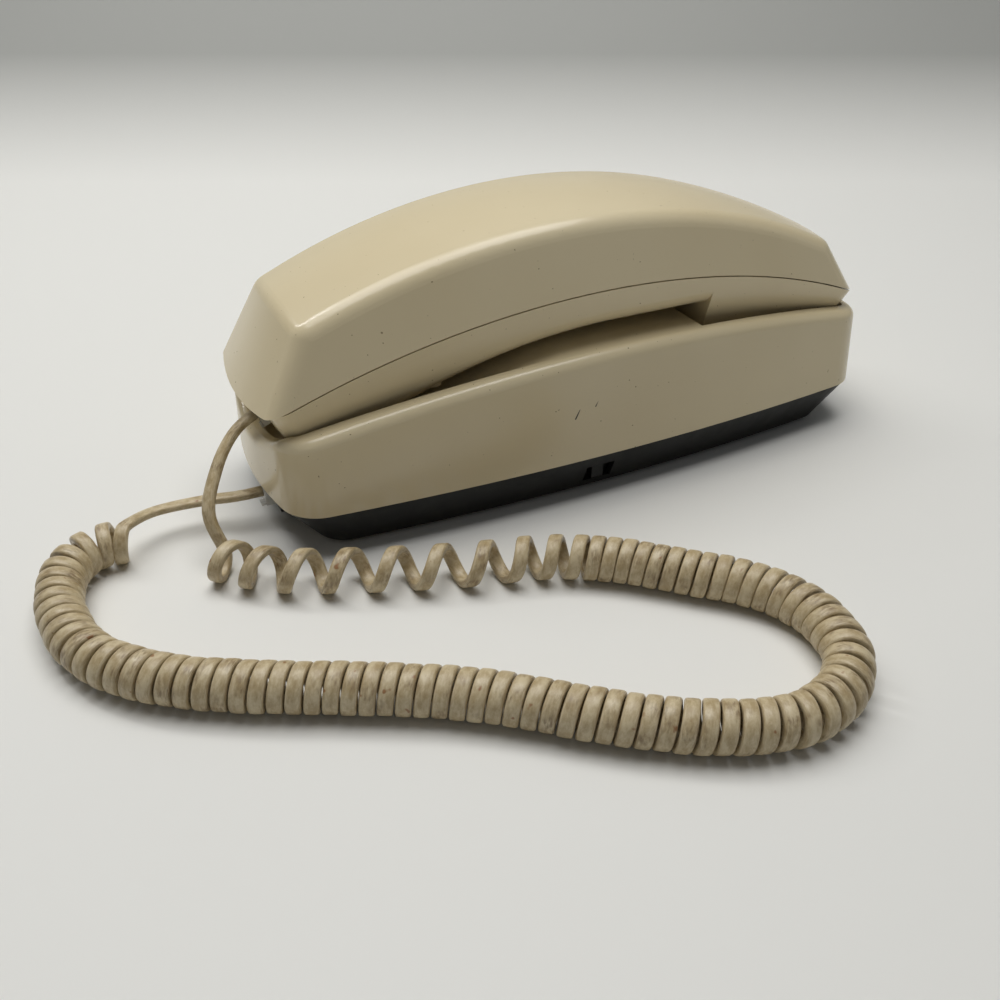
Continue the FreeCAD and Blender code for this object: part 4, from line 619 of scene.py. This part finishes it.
stageValues = {
    "sweepColour": (0.80, 0.80, 0.775),
    "wallColour": (0.36, 0.365, 0.35),
    "sweepRoughness": 0.5,
    "sweepSpecular": 0.25,
    "wallDistance": 0.86,
    "frontReach": 0.7,
    "halfWide": 1.7,
    "wallHigh": 1.3,
    "sweepBend": 0.30,
    "bendSteps": 24,
    "bendProfile": 0.5,
    "edgeSlack": 0.01,
    "fadeLow": 0.004,
    "fadeHigh": 0.055,
    "worldColour": (0.90, 0.92, 0.95),
    "worldStrength": 0.10,
    "backdropColour": (0.40, 0.405, 0.39),
}


def sweepPaper(values):
    material, tree, shader = newMaterial("sweepPaper")
    coords = addNode(tree, "ShaderNodeTexCoord")
    parts = addNode(tree, "ShaderNodeSeparateXYZ")
    tree.links.new(coords.outputs["Object"], parts.inputs[0])
    fade = ramp(tree, parts.outputs["Z"], values["fadeLow"], values["fadeHigh"])
    colour = mixColour(tree, fade, values["sweepColour"], values["wallColour"])
    tree.links.new(colour, shader.inputs["Base Color"])
    shader.inputs["Roughness"].default_value = values["sweepRoughness"]
    shader.inputs["Specular IOR Level"].default_value = values["sweepSpecular"]
    return material


def selectEdges(sweep, wanted):
    # edges are chosen in object mode and worked on in edit mode
    bpy.ops.object.mode_set(mode="EDIT")
    bpy.ops.mesh.select_mode(type="EDGE")
    bpy.ops.mesh.select_all(action="DESELECT")
    bpy.ops.object.mode_set(mode="OBJECT")
    for edge in sweep.data.edges:
        edge.select = wanted([sweep.data.vertices[v].co for v in edge.vertices])
    bpy.ops.object.mode_set(mode="EDIT")


def buildStage(values):
    yaw = math.radians(cameraValues["yawTowardsX"])
    away = Vector((math.sin(yaw), math.cos(yaw), 0))
    foot = Vector((cameraValues["place"][0], cameraValues["place"][1], 0))
    long = values["wallDistance"] + values["frontReach"]
    middle = foot + away * (values["wallDistance"] - long / 2)
    bpy.ops.object.select_all(action="DESELECT")
    bpy.ops.mesh.primitive_plane_add(size=1, location=middle, rotation=(0, 0, -yaw))
    sweep = bpy.context.object
    sweep.name = "sweep"
    sweep.scale = (values["halfWide"] * 2, long, 1)
    bpy.ops.object.transform_apply(location=True, rotation=True, scale=True)
    back = max(vertex.co.dot(away) for vertex in sweep.data.vertices) - values["edgeSlack"]
    # the wall rises from the far edge, and the fold between them is bent
    selectEdges(sweep, lambda ends: all(end.dot(away) > back for end in ends))
    bpy.ops.mesh.extrude_edges_move(TRANSFORM_OT_translate={"value": (0, 0, values["wallHigh"])})
    selectEdges(sweep, lambda ends: all(end.dot(away) > back and end.z < values["edgeSlack"] for end in ends))
    bpy.ops.mesh.bevel(offset=values["sweepBend"], segments=values["bendSteps"],
                       profile=values["bendProfile"])
    bpy.ops.object.mode_set(mode="OBJECT")
    bpy.ops.object.shade_smooth()
    sweep.data.materials.append(sweepPaper(values))


def buildWorld(values):
    # faint light all round, and a pale grey where the world itself is seen
    world = bpy.data.worlds.new("studio")
    world.use_nodes = True
    tree = world.node_tree
    fill = tree.nodes["Background"]
    fill.inputs["Color"].default_value = (*values["worldColour"], 1)
    fill.inputs["Strength"].default_value = values["worldStrength"]
    seen = addNode(tree, "ShaderNodeBackground", in_Color=(*values["backdropColour"], 1))
    rays = addNode(tree, "ShaderNodeLightPath")
    mirrored = mathNode(tree, "MAXIMUM", rays.outputs["Is Glossy Ray"], rays.outputs["Is Transmission Ray"])
    either = mathNode(tree, "MAXIMUM", rays.outputs["Is Camera Ray"], mirrored)
    blend = addNode(tree, "ShaderNodeMixShader")
    tree.links.new(either, blend.inputs[0])
    tree.links.new(fill.outputs[0], blend.inputs[1])
    tree.links.new(seen.outputs[0], blend.inputs[2])
    tree.links.new(blend.outputs[0], tree.nodes["World Output"].inputs["Surface"])
    scene.world = world


lampValues = {
    "skyPanel": {
        "place": (0.02, 0.20, 1.10),
        "target": (0, 0, 0.05),
        "long": 1.0,
        "wide": 0.9,
        "watts": 11.6,
    },
    "ridgeGlint": {
        "place": (-0.36, 0.46, 0.66),
        "target": (0, 0, 0.07),
        "long": 0.05,
        "wide": 0.30,
        "watts": 0.8,
    },
}
lampColour = (1, 0.99, 0.97)


def hangLamps(lamps):
    for name, values in lamps.items():
        bpy.ops.object.light_add(type="AREA", location=values["place"])
        lamp = bpy.context.object
        lamp.name = name
        lamp.data.shape = "RECTANGLE"
        lamp.data.size = values["long"]
        lamp.data.size_y = values["wide"]
        lamp.data.energy = values["watts"]
        lamp.data.color = lampColour
        facing = Vector(values["target"]) - Vector(values["place"])
        lamp.rotation_euler = facing.to_track_quat("-Z", "Y").to_euler()


buildStage(stageValues)
buildWorld(stageValues)
hangLamps(lampValues)
scene.view_settings.view_transform = "Standard"
print("stage done")
